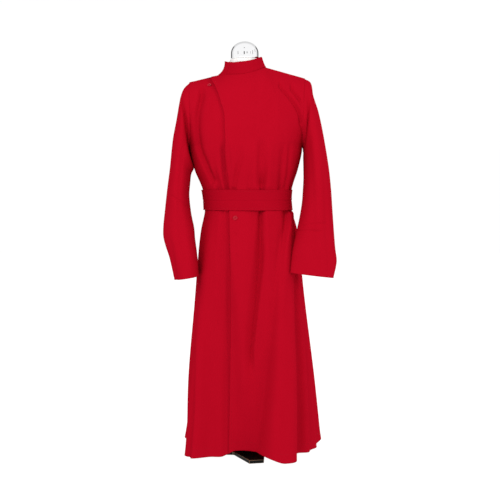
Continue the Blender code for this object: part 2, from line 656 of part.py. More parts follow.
def make_base():
    """Flat plate with four tapered feet."""
    work = bmesh.new()
    outline = []
    for foot in range(FOOT_COUNT):
        turn = math.radians(FOOT_TURN - 90 + foot * 360 / FOOT_COUNT)
        ahead = Vector((math.cos(turn), math.sin(turn), 0))
        aside = Vector((-math.sin(turn), math.cos(turn), 0))
        outline += [ahead * FOOT_ROOT - aside * FOOT_ROOT_HALF, ahead * FOOT_REACH - aside * FOOT_TIP_HALF,
                    ahead * FOOT_REACH + aside * FOOT_TIP_HALF, ahead * FOOT_ROOT + aside * FOOT_ROOT_HALF]
    face = work.faces.new([work.verts.new(point) for point in outline])
    lifted = bmesh.ops.extrude_face_region(work, geom=[face])["geom"]
    bmesh.ops.translate(work, vec=(0, 0, BASE_THICK),
                        verts=[item for item in lifted if isinstance(item, bmesh.types.BMVert)])
    bmesh.ops.recalc_face_normals(work, faces=work.faces)
    mesh = bpy.data.meshes.new("stand_base")
    work.to_mesh(mesh)
    work.free()
    item = new_object("stand_base", mesh, "black_steel")
    bevel = item.modifiers.new("Rounded edges", "BEVEL")
    bevel.width = BASE_BEVEL
    bevel.segments = 2
    return item


def make_materials():
    for name, (colour, roughness, metallic) in MATERIALS.items():
        material = bpy.data.materials.new(name)
        material.use_nodes = True
        shader = material.node_tree.nodes["Principled BSDF"]
        shader.inputs["Base Color"].default_value = colour
        shader.inputs["Roughness"].default_value = roughness
        shader.inputs["Metallic"].default_value = metallic


def main():
    for item in list(bpy.data.objects):
        bpy.data.objects.remove(item)
    collection = bpy.data.collections.new(NAME)
    bpy.context.scene.collection.children.link(collection)
    make_materials()
    make_fronts()
    make_back()
    make_sleeve("sleeve_left", SLEEVE_LEFT, 1)
    make_sleeve("sleeve_right", SLEEVE_RIGHT, -1)
    make_collar()
    make_belt()
    for button in BUTTONS:
        make_button(button)
    make_form()
    make_cap()
    make_pole()
    make_base()


main()
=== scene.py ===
# %% [markdown]
# # Dressing a cassock on a dress form
# A cassock is a long robe cut close in the body and full in the skirt. This one is double-breasted:
# the left front laps far over the right one, a wide sash holds the waist, and the robe is shown on
# a limbless dress form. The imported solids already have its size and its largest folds. This lesson
# sews thin cloth over them, gives every surface its finish, and sets up a plain studio.

# %% Load the solids as a fixed frame
from collections import namedtuple
import math

import bmesh
import bpy
import numpy as np
from mathutils import Matrix, Vector


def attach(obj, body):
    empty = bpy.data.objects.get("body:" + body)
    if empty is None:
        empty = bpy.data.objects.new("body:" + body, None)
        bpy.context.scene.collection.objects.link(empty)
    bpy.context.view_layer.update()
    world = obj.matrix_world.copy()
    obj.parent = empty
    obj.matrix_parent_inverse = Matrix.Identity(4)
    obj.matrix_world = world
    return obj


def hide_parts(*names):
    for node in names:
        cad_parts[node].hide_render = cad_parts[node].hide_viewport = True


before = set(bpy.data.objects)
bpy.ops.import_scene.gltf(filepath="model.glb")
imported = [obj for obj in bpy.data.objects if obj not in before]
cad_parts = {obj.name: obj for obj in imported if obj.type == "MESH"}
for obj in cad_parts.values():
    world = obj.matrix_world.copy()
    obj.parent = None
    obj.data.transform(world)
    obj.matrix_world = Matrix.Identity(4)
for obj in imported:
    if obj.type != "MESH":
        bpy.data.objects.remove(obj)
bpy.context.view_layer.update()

# %% [markdown]
# ## The camera
# A full-length garment is shown from about chest height with a moderately long lens, so that
# neither the hem nor the shoulders are stretched. The tilt is small, which keeps the sides upright.
# The lens is worked out from the number of image pixels that one unit of slope covers.

# %% Place the camera
CAMERA_PLACE = (0.0139, -3.40, 0.92)
CAMERA_TILT = 3.555         # degrees down from level
FRAME_PIXELS = 500
PIXELS_PER_SLOPE = 975.8
SENSOR = 36.0

camera_data = bpy.data.cameras.new("camera")
camera_data.sensor_width = SENSOR
camera_data.lens = SENSOR * PIXELS_PER_SLOPE / FRAME_PIXELS
camera = bpy.data.objects.new("camera", camera_data)
camera.location = CAMERA_PLACE
camera.rotation_euler = (math.radians(90 - CAMERA_TILT), 0, 0)
bpy.context.scene.collection.objects.link(camera)
bpy.context.scene.camera = camera
print("Lens:", round(camera_data.lens, 1), "mm")

# %% [markdown]
# ## Colours and nodes
# Colours are given as sRGB hex values, but a renderer adds and multiplies light, so it
# wants linear values. One function turns the first into the second. Another adds a shader node with
# its settings and its links in one call, which keeps the node trees below short enough to read. Two
# more start a material, and turn a finished bmesh into an object of the scene.

# %% Helpers for colours, nodes and meshes
def linear(hex_colour):
    """Linear RGBA of an sRGB colour such as "c11629"."""
    channels = [int(hex_colour[i:i + 2], 16) / 255 for i in (0, 2, 4)]
    return [c / 12.92 if c <= 0.04045 else ((c + 0.055) / 1.055)**2.4 for c in channels] + [1.0]


def add_node(material, kind, inputs=None, **settings):
    """Add a node. An input is given a value, or the socket that it is linked to."""
    tree = material.node_tree
    node = tree.nodes.new(kind)
    for name, value in settings.items():
        setattr(node, name, value)
    for name, value in (inputs or {}).items():
        if isinstance(value, bpy.types.NodeSocket):
            tree.links.new(value, node.inputs[name])
        else:
            node.inputs[name].default_value = value
    return node


def new_material(name, **finish):
    """A material and its Principled shader, whose sockets are set by name."""
    material = bpy.data.materials.new(name)
    material.use_nodes = True
    shader = material.node_tree.nodes["Principled BSDF"]
    for socket, value in finish.items():
        shader.inputs[socket.replace("_", " ")].default_value = value
    return material, shader


def new_object(name, work, material):
    """Object with the mesh that was made in a bmesh."""
    mesh = bpy.data.meshes.new(name)
    work.to_mesh(mesh)
    work.free()
    mesh.materials.append(material)
    item = bpy.data.objects.new(name, mesh)
    bpy.context.scene.collection.objects.link(item)
    return item


print("Scarlet as linear light:", [round(c, 3) for c in linear("c11629")])

# %% [markdown]
# ## The studio
# Clothes are lit with large soft sources, so that folds show as gentle shading and not as hard
# shadows. Two thirds of the light here comes from all round, which is the white room. The rest
# comes from broad panels, the strongest above the camera, so each fold gets a lit and a shaded
# side. Paper and backdrop shine white by themselves, as they do when a studio lights them apart
# from the clothes.

# %% Floor and backdrop
FLOOR_RADIUS, BACKDROP_RADIUS, SURROUND_RADIUS = 12.0, 11.0, 10.5
FLOOR_Z = -0.0005           # just below the foot, so that the two don't flicker
WHITE, BLACK = (1, 1, 1, 1), (0, 0, 0, 1)
WHITE_SURROUND = 0.82
PAPER_GREY = linear("5a5a5a")
PAPER_GLOW = 1.0

scene = bpy.context.scene
scene.view_settings.view_transform = "Standard"
world = bpy.data.worlds.new("white_surround")
world.use_nodes = True
background = world.node_tree.nodes["Background"]
background.inputs["Color"].default_value = WHITE
background.inputs["Strength"].default_value = WHITE_SURROUND
scene.world = world


def stage_piece(name, work, material):
    """Part of the studio, which isn't part of the garment."""
    item = new_object(name, work, material)
    return item


def white_ball(radius):
    work = bmesh.new()
    bmesh.ops.create_uvsphere(work, u_segments=48, v_segments=24, radius=radius)
    return work


# Seamless paper is matt, and lit from its own lamps it burns out to an even white.
paper, _ = new_material("lit_paper_floor", Base_Color=PAPER_GREY, Roughness=0.9,
                        Emission_Color=WHITE, Emission_Strength=PAPER_GLOW)
work = bmesh.new()
bmesh.ops.create_circle(work, cap_ends=True, segments=96, radius=FLOOR_RADIUS,
                        matrix=Matrix.Translation((0, 0, FLOOR_Z)))
floor = stage_piece("studio_floor", work, paper)
floor.visible_diffuse = False

# The backdrop glows by itself, so it stays an even white however the robe is lit.
glow, _ = new_material("lit_white_backdrop", Base_Color=BLACK, Roughness=1.0, Emission_Color=WHITE,
                       Emission_Strength=PAPER_GLOW)
backdrop = stage_piece("studio_backdrop", white_ball(BACKDROP_RADIUS), glow)
backdrop.visible_diffuse = backdrop.visible_shadow = backdrop.visible_glossy = False
print("Floor and backdrop reach", FLOOR_RADIUS, "and", BACKDROP_RADIUS, "m")

# %% [markdown]
# Polished metal shows the room and little else. The room is white towards the camera and dimmer
# behind the robe, and a few dark stands in it give the metal its thin upright streaks. Both show in
# reflections alone.

# %% What polished metal reflects
REAR_STARTS, REAR_FULL, REAR_GREY = 2.0, 6.0, 0.70
room, room_shader = new_material("white_room_dimmer_behind", Base_Color=BLACK, Roughness=1.0,
                                 Emission_Color=WHITE)
place = add_node(room, "ShaderNodeTexCoord")
axes = add_node(room, "ShaderNodeSeparateXYZ", {"Vector": place.outputs["Object"]})
dimmer = add_node(room, "ShaderNodeMapRange",
                  {"Value": axes.outputs["Y"], "From Min": REAR_STARTS, "From Max": REAR_FULL,
                   "To Min": PAPER_GLOW, "To Max": REAR_GREY})
room.node_tree.links.new(dimmer.outputs["Result"], room_shader.inputs["Emission Strength"])
surround = stage_piece("studio_surround", white_ball(SURROUND_RADIUS), room)

# degrees from the camera's side, half width, lowest and highest point in metres
STANDS = ((-143, 0.60, 1.4, 3.2), (-57, 0.10, 1.5, 2.2), (-4, 0.20, 1.4, 2.1), (-4, 0.28, 4.6, 5.6),
          (19, 0.13, 1.6, 2.0), (48, 0.07, 1.6, 2.0), (69, 0.10, 1.5, 2.6), (96, 0.10, 2.0, 3.0),
          (141, 0.60, 1.4, 3.2))
STAND_RADIUS = 3.0
# Felt drinks up light, so each stand is a nearly black streak in the metal.
felt, _ = new_material("black_studio_felt", Base_Color=linear("101010"), Roughness=0.9)
upright = Matrix.Rotation(math.radians(90), 4, "X")
work = bmesh.new()
for azimuth, half, low, high in STANDS:
    turn = Matrix.Rotation(math.radians(azimuth), 4, "Z")
    size = Matrix.Diagonal((half, (high - low) / 2, 1, 1))
    shift = Matrix.Translation((0, -STAND_RADIUS, (low + high) / 2))
    bmesh.ops.create_grid(work, x_segments=1, y_segments=1, size=1,
                          matrix=turn @ shift @ upright @ size)
stands = stage_piece("studio_stands", work, felt)
for item in (surround, stands):
    item.visible_camera = item.visible_diffuse = item.visible_shadow = False
print("Dark stands round the set:", len(STANDS))

# %% [markdown]
# Soft light needs a large source. Each lamp is a flat rectangle more than a metre wide. The key
# hangs above the camera and a little to one side, the fill stands low on the other side and opens
# up the shadows, and the third lights the back of the robe, for whoever walks round it.

# %% Lamps
Lamp = namedtuple("Lamp", "name place aim width height watts")
LAMPS = (
    Lamp("key_panel", (-0.7, -2.8, 2.2), (0.0, 0.0, 1.0), 1.1, 1.3, 40),
    Lamp("fill_panel", (2.4, -2.0, 1.0), (0.0, 0.0, 0.5), 1.2, 1.6, 14),
    Lamp("back_panel", (2.0, 2.4, 2.2), (0.0, 0.0, 0.9), 1.1, 1.3, 45),
)
for lamp in LAMPS:
    data = bpy.data.lights.new(lamp.name, "AREA")
    data.shape = "RECTANGLE"
    data.size, data.size_y, data.energy = lamp.width, lamp.height, lamp.watts
    item = bpy.data.objects.new(lamp.name, data)
    item.location = lamp.place
    item.rotation_euler = (Vector(lamp.aim)
                           - Vector(lamp.place)).to_track_quat("-Z", "Y").to_euler()
    item.visible_glossy = item.visible_camera = False
    scene.collection.objects.link(item)
print("Lamps:", [(lamp.name, lamp.watts) for lamp in LAMPS])

# %% [markdown]
# ## The cloth's surface as a function
# A tailor thinks of a robe as one surface with seams drawn on it. So does this script. A place on
# the cloth is given by two numbers: `s` runs from -1 at the wearer's right side seam to +1 at the
# left one, and `level` from 0 at the hem through 1 at the underarms to 2 at the shoulder. Front and
# back are the two sides, -1 and +1. Whole grids of places are worked out at once with numpy arrays,
# because a fine panel has tens of thousands of points.

# %% Smooth steps and curves for arrays
def ease(value):
    """Smooth step from 0 to 1."""
    value = np.clip(value, 0.0, 1.0)
    return value * value * (3 - 2 * value)


def smooth_line(knots, at, flat_end=False):
    """Value at each place `at` of a smooth curve through (position, value) knots."""
    x, y = np.array(knots, float).T
    slope = np.empty_like(y)
    slope[1:-1] = (y[2:] - y[:-2]) / (x[2:] - x[:-2])
    slope[0] = (y[1] - y[0]) / (x[1] - x[0])
    slope[-1] = 0.0 if flat_end else (y[-1] - y[-2]) / (x[-1] - x[-2])
    at = np.clip(at, x[0], x[-1])
    i = np.clip(np.searchsorted(x, at) - 1, 0, len(x) - 2)
    span = x[i + 1] - x[i]
    t = (at - x[i]) / span
    return ((2 * t**3 - 3 * t**2 + 1) * y[i] + (t**3 - 2 * t**2 + t) * span * slope[i]
            + (3 * t**2 - 2 * t**3) * y[i + 1] + (t**3 - t**2) * span * slope[i + 1])


def stacked(x, y, z):
    """Three arrays as one array of points."""
    return np.stack(np.broadcast_arrays(x, y, z), axis=-1)


def unit(vectors):
    return vectors / np.linalg.norm(vectors, axis=-1, keepdims=True)


print("Half way up a smooth step:", float(ease(0.5)))

# %% [markdown]
# ## The body of the robe
# The sections below are the robe's half widths and depths at nine heights. The belt draws the cloth
# in and the skirt falls from it in folds, which are rounded lobes that turn and widen on their way
# down. Nearly the same numbers made the solids, and a few folds are fuller here, so this thin cloth
# lies within millimetres of them.

# %% Sizes of the body, its folds and its yoke
CLOTH = 0.0020              # wall of the solid garment
GAP = 0.0003
LAYER = CLOTH + GAP         # from the over front's face to the under front's face
CHEST_Z, HEM_Z = 1.070, 0.015
# The hem rides up near the centre front: how far, up to what height, at which angle and how widely.
HEM_LIFT, LIFT_REACH, LIFT_ANGLE, LIFT_HALF, LIFT_FLATNESS = 0.020, 0.30, 1, 24, 1.8
BELT_LOW, BELT_HIGH = 0.849, 0.918
SQUARE = 0.08               # fullness of the sections between their axes

SECTION_HEIGHTS = (0.015, 0.257, 0.530, 0.710, 0.782, 0.849, 0.918, 0.993, 1.070)
SECTIONS = {
    "right_side": (0.211, 0.204, 0.180, 0.165, 0.156, 0.143, 0.150, 0.180, 0.195),
    "left_side": (0.248, 0.229, 0.202, 0.187, 0.178, 0.160, 0.159, 0.181, 0.195),
    "front": (0.165, 0.158, 0.146, 0.135, 0.128, 0.117, 0.117, 0.130, 0.137),
    "back": (0.215, 0.198, 0.170, 0.148, 0.134, 0.119, 0.117, 0.129, 0.134),
}

# Angles and half widths in degrees from the centre front towards +X, depths in metres outwards.
Fold = namedtuple("Fold", "at_belt at_hem half_at_belt half_at_hem depth_at_belt depth_at_hem "
                          "flatness fades_at")
FOLDS = [Fold(*row) for row in (
    (-50, -50, 12, 20, 0.000, 0.055, 1.0, 0.93),
    (-33, -7, 5, 23, -0.004, -0.036, 1.0, 1.03),
    (19, 4, 5, 16, -0.012, -0.010, 1.0, 1.05),
    (53, 23.5, 9, 17, 0.000, 0.076, 2.6, 0.93),
    (72, 49, 6, 14, -0.009, -0.026, 1.0, 1.04),
    (86, 70, 6, 15, -0.003, -0.013, 1.0, 1.01),
    (100, 122, 8, 29, 0.000, 0.053, 1.1, 0.93),
    (126, 152, 6, 14, -0.008, -0.022, 1.0, 1.04),
    (150, 182, 8, 20, 0.000, 0.040, 1.2, 0.93),
    (176, 207, 6, 14, -0.009, -0.022, 1.0, 1.05),
    (204, 232, 8, 22, 0.000, 0.050, 1.4, 0.93),
    (228, 258, 6, 13, -0.007, -0.014, 1.0, 1.01),
    (-66, -72, 6, 10, -0.001, -0.004, 1.0, 1.01),
)]
FOLD_GROWTH, FOLD_SPREAD = 1.25, 0.7  # powers of the way down, for depth and for place

NECK_PART = 0.42            # the neckline takes |s| up to here, the shoulder seam the rest
NECK_X, NECK_HALF, NECK_Y = -0.0030, 0.0705, 0.004
NECK_RIGHT_Z, NECK_LEFT_Z = 1.319, 1.340
NECK_FRONT, NECK_BACK = (0.062, 1.320), (0.060, 1.345)  # distance from NECK_Y, height
TIP_RIGHT, TIP_LEFT = np.array((-0.196, 0.010, 1.290)), np.array((0.204, 0.010, 1.303))
ARMHOLE_FRONT, ARMHOLE_BACK, ARMHOLE_BEND, YOKE_TURN = 0.075, 0.062, 0.004, 62
NECK_BLEND = 0.24           # in s, below the shoulder seam, so no crease runs down from the neck
NORMAL_STEP = 0.004         # in s and level, on each side of a point, for its normal
print("Folds round the skirt:", len(FOLDS))

# %% [markdown]
# Up to the chest, the robe is a stack of level ovals with widths and depths of their own. Above it,
# front and back are each one curved patch that leans in to the shoulder seam and the neckline. A
# mesh pulled into this shape by hand would have to be fitted again after every change. A function
# can be asked for any point, and for the way that the cloth faces there.

# %% The plain surface, without folds
def section_point(angle, height):
    """Points of the plain section at angles in degrees from the centre front."""
    sine, cosine = np.sin(np.radians(angle)), np.cos(np.radians(angle))
    sizes = {name: smooth_line(list(zip(SECTION_HEIGHTS, row)), height, True)
             for name, row in SECTIONS.items()}
    half = np.where(sine > 0, sizes["left_side"], sizes["right_side"])
    depth = np.where(cosine > 0, sizes["front"], sizes["back"])
    return stacked(half * sine * (1 + SQUARE * cosine**2), -depth * cosine * (1 + SQUARE * sine**2),
                   height)


def angle_between(angle, centre):
    return (angle - centre + 180) % 360 - 180


def neckline_point(angle):
    """Points of the neckline, 0 at the centre front and 90 on +X."""
    sine, cosine = np.sin(np.radians(angle)), np.cos(np.radians(angle))
    middle = (NECK_RIGHT_Z + NECK_LEFT_Z) / 2
    depth = np.where(cosine > 0, NECK_FRONT[0], NECK_BACK[0])
    height = np.where(cosine > 0, NECK_FRONT[1], NECK_BACK[1])
    tilt = (NECK_LEFT_Z - NECK_RIGHT_Z) / 2 * sine
    return stacked(NECK_X + NECK_HALF * sine, NECK_Y - depth * cosine,
                   middle + tilt + (height - middle) * cosine**2)


def top_point(s, side):
    """Points of the shoulder seam or the neckline."""
    angle = 90 * np.clip(s / NECK_PART, -1, 1)
    start = neckline_point(angle if side < 0 else 180 - angle)
    tip = np.where((s > 0)[..., None], TIP_LEFT, TIP_RIGHT)
    out = np.clip((np.abs(s) - NECK_PART) / (1 - NECK_PART), 0, 1)[..., None]
    return start + (tip - start) * out


def plain_point(s, level, side):
    """The robe's surface without folds."""
    angle = 90 * s if side < 0 else 180 - 90 * s
    height = HEM_Z + (CHEST_Z - HEM_Z) * np.clip(level, 0, 1)
    below = section_point(angle, height)
    near_front = np.clip(1 - np.abs(angle_between(angle, LIFT_ANGLE)) / LIFT_HALF, 0, None)
    fade = np.clip(1 - height / LIFT_REACH, 0, None)**2
    below[..., 2] += HEM_LIFT * ease(near_front * LIFT_FLATNESS) * fade
    t = np.clip(level - 1, 0, 1)
    reach = np.minimum(NECK_BLEND * (1 - t), 1 - np.abs(s))
    top = np.mean([top_point(s + reach * share, side) for share in (-1, -0.5, 0, 0.5, 1)], axis=0)
    end = np.radians(YOKE_TURN + (90 - YOKE_TURN) * ease(np.abs(s) / NECK_PART))
    turn = end * t
    inward = (np.cos(turn) - np.cos(end)) / (1 - np.cos(end))
    arm, bow = s * s, np.sin(np.pi * t)
    rise = arm * (1 - np.cos(np.pi * t)) / 2 + (1 - arm) * np.sin(turn) / np.sin(end)
    bend = np.sign(s) * ARMHOLE_BEND * np.abs(s)**3 * bow
    depth = ARMHOLE_FRONT if side < 0 else ARMHOLE_BACK
    above = stacked(below[..., 0] + (top[..., 0] - below[..., 0]) * ease(t) - bend,
                    top[..., 1] + (below[..., 1] - top[..., 1]) * inward + side * arm * depth * bow,
                    CHEST_Z + (top[..., 2] - CHEST_Z) * rise)
    return np.where((level > 1)[..., None], above, below)


def plain_normal(s, level, side):
    """Outward normals of the plain surface. Below the chest they are level."""
    across = (plain_point(np.minimum(s + NORMAL_STEP, 1), level, side)
              - plain_point(np.maximum(s - NORMAL_STEP, -1), level, side))
    upward = (plain_point(s, np.minimum(level + NORMAL_STEP, 2), side)
              - plain_point(s, np.maximum(level - NORMAL_STEP, 0), side))
    normals = unit(np.cross(across, upward)) * -side
    normals[..., 2] = np.where(level > 1, normals[..., 2], 0)
    return unit(normals)


belt_place = plain_point(np.zeros(1), np.full(1, (BELT_LOW - HEM_Z) / (CHEST_Z - HEM_Z)), -1)[0]
print("Centre front below the belt:", [round(float(value), 3) for value in belt_place])

# %% [markdown]
# ## Folds, gathers and creases
# Cloth never hangs in even waves. The belt bites into it and starts short gathers above and deep
# folds below, and the weight of the empty sleeves drags creases from the shoulders to the armholes.
# Each one is a soft stroke: a path drawn up the front or the back, a width on either side of the
# path, and a depth at each end. A narrow side gives the sharp edge of a fold that lies over itself.

# %% Folds of the skirt
def fold_depth(angle, height):
    """How far the folds carry the skirt out."""
    total = np.zeros(np.broadcast(angle, height).shape)
    down = np.clip((BELT_LOW - height) / (BELT_LOW - HEM_Z), 0, 1)
    spread, growth = down**FOLD_SPREAD, down**FOLD_GROWTH
    for fold in FOLDS:
        centre = fold.at_belt + (fold.at_hem - fold.at_belt) * spread
        half = fold.half_at_belt + (fold.half_at_hem - fold.half_at_belt) * spread
        away = np.clip(np.abs(angle_between(angle, centre)) / half, 0, 1)
        depth = fold.depth_at_belt + (fold.depth_at_hem - fold.depth_at_belt) * growth
        fade = 1 - ease((height - BELT_HIGH) / (fold.fades_at - BELT_HIGH))
        total += depth * fade * np.cos(np.pi / 2 * away**fold.flatness)**2
    return total


hem_depths = fold_depth(np.arange(0.0, 360.0), HEM_Z)
print("Folds at the hem, deepest and highest:",
      hem_depths.min().round(3), hem_depths.max().round(3))

# %% [markdown]
# The skirt's folds go all the way round it. The smaller strokes lie on the front or on the back
# alone, so they are drawn as they look from straight in front, by height and x. In a table, each
# crease can be read and changed by itself, which a sculpted mesh doesn't allow.

# %% Strokes of the bodice and the skirt
# Path as (height, x) from low to high, half widths towards -X and +X, depths at the low and the
# high end, negative inwards, and lengths over which the low and the high end fade. All in
# millimetres.
FRONT_STROKES = (
    # the long fold beside the right armhole and the swelling inside it
    (((953, -116), (1010, -142), (1061, -162), (1120, -169), (1175, -166), (1235, -154)), 7, 13,
     -12.5, -11.5, 20, 50),
    (((953, -100), (1053, -134), (1152, -140), (1222, -127)), 12, 20, 3, 3.5, 40, 40),
    # gathers that the belt starts, from right to left
    (((920, -62.5), (971, -68), (1044, -76)), 8, 6, -10, -7, 10, 40),
    (((935, -44), (966, -42), (1003, -42.2), (1052, -48)), 8, 8, 4, 3, 30, 40),
    (((920, -42), (953, -37), (1021, -17.5)), 10, 9, -9, -4, 10, 50),
    (((942, 51), (986, 50.5), (1052, 53)), 14, 11, -9, -8, 20, 50),
    (((930, 33), (986, 33), (1052, 34)), 11, 8, 4, 2, 30, 50),
    (((930, 76), (986, 78), (1052, 82)), 9, 16, 5, 3, 30, 50),
    (((920, 121.5), (979, 124.5), (1035, 126.5)), 13, 8, -11, -7, 10, 50),
    (((925, 137), (970, 144), (1046, 149)), 10, 6, -7, -4, 10, 40),
    (((920, -98), (950, -101), (1000, -110)), 6, 8, -7, -3, 10, 50),
    (((920, 10), (948, 12), (990, 18)), 9, 9, -4, -2, 10, 50),
    # creases that the left sleeve drags
    (((1148, 186.4), (1172.5, 182.5), (1214, 159.3), (1264.6, 116.3)), 5, 9, -12, -8.5, 20, 30),
    (((1130, 193.9), (1168, 194.2), (1207, 190.8), (1257.5, 155.7)), 5, 7, -11, -8, 20, 30),
    # skirt: the overlap's edge, the deep fold under the belt and its neighbour
    (((37, -66.5), (304, -61.2), (538.5, -58.3), (670.4, -55.5), (839.2, -59.8)), 12, 2.2, -3, -7,
     50, 10),
    (((380.3, 22.6), (537.2, 40), (692.8, 56), (782.5, 53), (845, 53)), 42, 3, -15, -12, 120, 10),
    (((380.3, 28), (537.2, 45), (692.8, 61), (782.5, 59), (845, 59)), 3, 26, 3, 8, 120, 10),
    # the closed buttons under the overlap
    (((766, -34.5), (770, -34.5)), 6, 6, -2, -2, 8, 8),
    (((693.5, -32.2), (697.5, -32.2)), 6, 6, -1.6, -1.6, 8, 8),
    (((675.7, 119), (762.7, 131), (806.3, 142), (845, 145)), 16, 3.2, -6, -15, 120, 10),
    (((675.7, 129), (762.7, 139), (806.3, 149), (845, 151)), 3, 14, 3, 8, 80, 10),
    (((660, 165), (720, 162), (780, 160)), 10, 10, 4, 4, 60, 40),
    (((591.3, 185), (694.2, 180), (797, 170)), 8, 10, -5, -4, 80, 40),
    (((15, -161.5), (208.9, -158), (443.6, -159), (572.8, -171)), 20, 3.2, -17, -7, 50, 100),
    (((15, -150), (209, -147), (444, -148)), 5, 16, 5, 2, 50, 150),
    (((73.2, -106.6), (344.7, -100), (546.5, -90.1), (700, -84)), 20, 10, -4, -3, 100, 120),
    (((300, -5), (600, 0), (845, 10)), 30, 20, 1, 2, 150, 20),
    (((15, 8), (200, 14), (420, 22)), 14, 20, -1, -1, 50, 120),
)
BACK_STROKES = (
    # gathers above the belt, drag creases, folds below the belt
    (((920, 55), (970, 60), (1060, 72)), 5, 9, -11, -4, 10, 50),
    (((920, 10), (960, 12), (1030, 6)), 6, 7, -9, -4, 10, 50),
    (((930, 32), (980, 36), (1040, 40)), 10, 10, 4, 2, 30, 50),
    (((920, -48), (960, -52), (1050, -66)), 8, 5, -10, -4, 10, 50),
    (((920, -104), (960, -108), (1010, -120)), 7, 5, -9, -3, 10, 50),
    (((920, 108), (960, 112), (1020, 124)), 5, 8, -9, -4, 10, 50),
    (((1097, -168), (1150, -150), (1205, -120)), 10, 6, -6, -2.5, 30, 30),
    (((1087, 165), (1150, 142), (1195, 115)), 6, 10, -6, -2.5, 30, 30),
    (((400, 60), (600, 52), (845, 36)), 3.5, 26, -3, -12, 100, 10),
    (((480, -90), (640, -80), (845, -66)), 22, 3.5, -3, -11, 100, 10),
    (((620, 128), (720, 118), (845, 104)), 3.5, 14, -3, -12, 80, 10),
    (((620, -136), (720, -128), (845, -114)), 12, 4, -2, -9, 80, 10),
    (((15, 120), (250, 112), (500, 100)), 4.5, 20, -12, -2, 50, 120),
    (((15, -60), (250, -52), (480, -44)), 18, 6, -10, -2, 50, 120),
)


def in_metres(rows):
    return [[np.array(value) / 1000 for value in row] for row in rows]


STROKES = {-1: in_metres(FRONT_STROKES), 1: in_metres(BACK_STROKES)}
BELT_BITE = 0.012           # raised strokes die out this close to the belt

RIPPLES = (                 # slow waves round the skirt: waves in all, shift, amplitude
    (7, 0.4, 0.0016), (11, 2.1, 0.0013), (17, 4.4, 0.0008),
)
RIPPLE_TWIST = 1.3          # radians that the waves turn by from belt to hem
TAUT_ANGLE, TAUT_HALF = 84, 34  # the cloth is drawn taut here, with no waves
HEM_KICK, HEM_KICK_REACH = 0.0015, 0.045  # the doubled hem is stiffer and stands out


def stroke_depth(stroke, along, across):
    """Depth of one stroke at places along and across its path."""
    path, before, after, deep_start, deep_end, fade_start, fade_end = stroke
    start, end = path[0][0], path[-1][0]
    off = across - smooth_line(path, along)
    share = np.clip((along - start) / (end - start), 0, 1)
    depth = deep_start + (deep_end - deep_start) * share
    fade = ease((along - start) / fade_start + 1) * ease((end - along) / fade_end + 1)
    return depth * fade * np.exp(-(off / np.where(off < 0, before, after))**2)


def strokes_depth(places, side):
    """Sum of the strokes at places on the front or the back."""
    x, z = places[..., 0], places[..., 2]
    outside_belt = ease(np.maximum(BELT_LOW - z, z - BELT_HIGH) / BELT_BITE)
    total = np.zeros_like(x)
    for stroke in STROKES[side]:
        depth = stroke_depth(stroke, z, x)
        total += np.where(depth > 0, depth * outside_belt, depth)
    return total


def ripple_depth(angle, height):
    """Slow uneven waves that grow from the belt to the hem, and the hem's own stand."""
    down = np.clip((BELT_LOW - height) / (BELT_LOW - HEM_Z), 0, 1)
    turn = np.radians(angle)
    waved = sum(size * np.sin(waves * turn + shift + RIPPLE_TWIST * down)
                for waves, shift, size in RIPPLES)
    taut = np.exp(-(angle_between(angle, TAUT_ANGLE) / TAUT_HALF)**2)
    kick = HEM_KICK * np.clip(1 - (height - HEM_Z) / HEM_KICK_REACH, 0, 1)**2
    return down * waved * (1 - taut) + kick


SEAM_REACH = 0.045          # in s, how wide the cloth turns in at the armhole
SEAM_DIP = ((1.0, 0.0040), (1.30, 0.0045), (1.5, 0.0015), (1.7, 0.0002), (2.0, 0.0))  # by level
DIP_RAMP = 0.25             # in level, over which that starts above the chest line
CREASE_EDGE = 0.12          # strokes die out over this much of s beside a side seam or armhole
CREASE_TOP = 0.25           # and over this much of the level below the shoulder seam


def cloth_point(s, level, side):
    """The robe's surface with everything that shapes it."""
    s, level = np.broadcast_arrays(np.asarray(s, float), np.asarray(level, float))
    angle = 90 * s if side < 0 else 180 - 90 * s
    places = plain_point(s, level, side)
    normals = plain_normal(s, level, side)
    height = np.where(level > 1, CHEST_Z, places[..., 2])
    edge = ease((1 - np.abs(s)) / CREASE_EDGE) * ease((2 - level) / CREASE_TOP)
    out = (fold_depth(angle, height) + strokes_depth(places, side) * edge
           + ripple_depth(angle, height))
    dip = smooth_line(SEAM_DIP, level) * ease((level - 1) / DIP_RAMP)
    out -= dip * np.exp(-((1 - np.abs(s)) / SEAM_REACH)**2)
    return places + normals * out[..., None]


print("Strokes:", {side: len(strokes) for side, strokes in STROKES.items()})

# %% [markdown]
# ## From a grid to a sewn panel
# `bmesh.ops.create_grid` makes a flat sheet of squares. Every vertex is then moved to its place on
# the robe, which is what draping does to flat cloth. The sheet keeps a UV map in metres, measured
# along the cloth, so the weave follows each piece as it does on cloth that was cut before it was
# sewn. Solidify gives the sheet its thickness, inwards, so its face stays where it was put.

# %% Make a sheet of cloth
SHEET_THICKNESS = 0.0012
WELD = 0.00001              # points of a tube's two edges that are closer than this become one


def grid_normals(places):
    """Normals of a grid of points, from its neighbouring rows and columns."""
    across = np.gradient(places, axis=1)
    upward = np.gradient(places, axis=0)
    return unit(np.cross(across, upward))


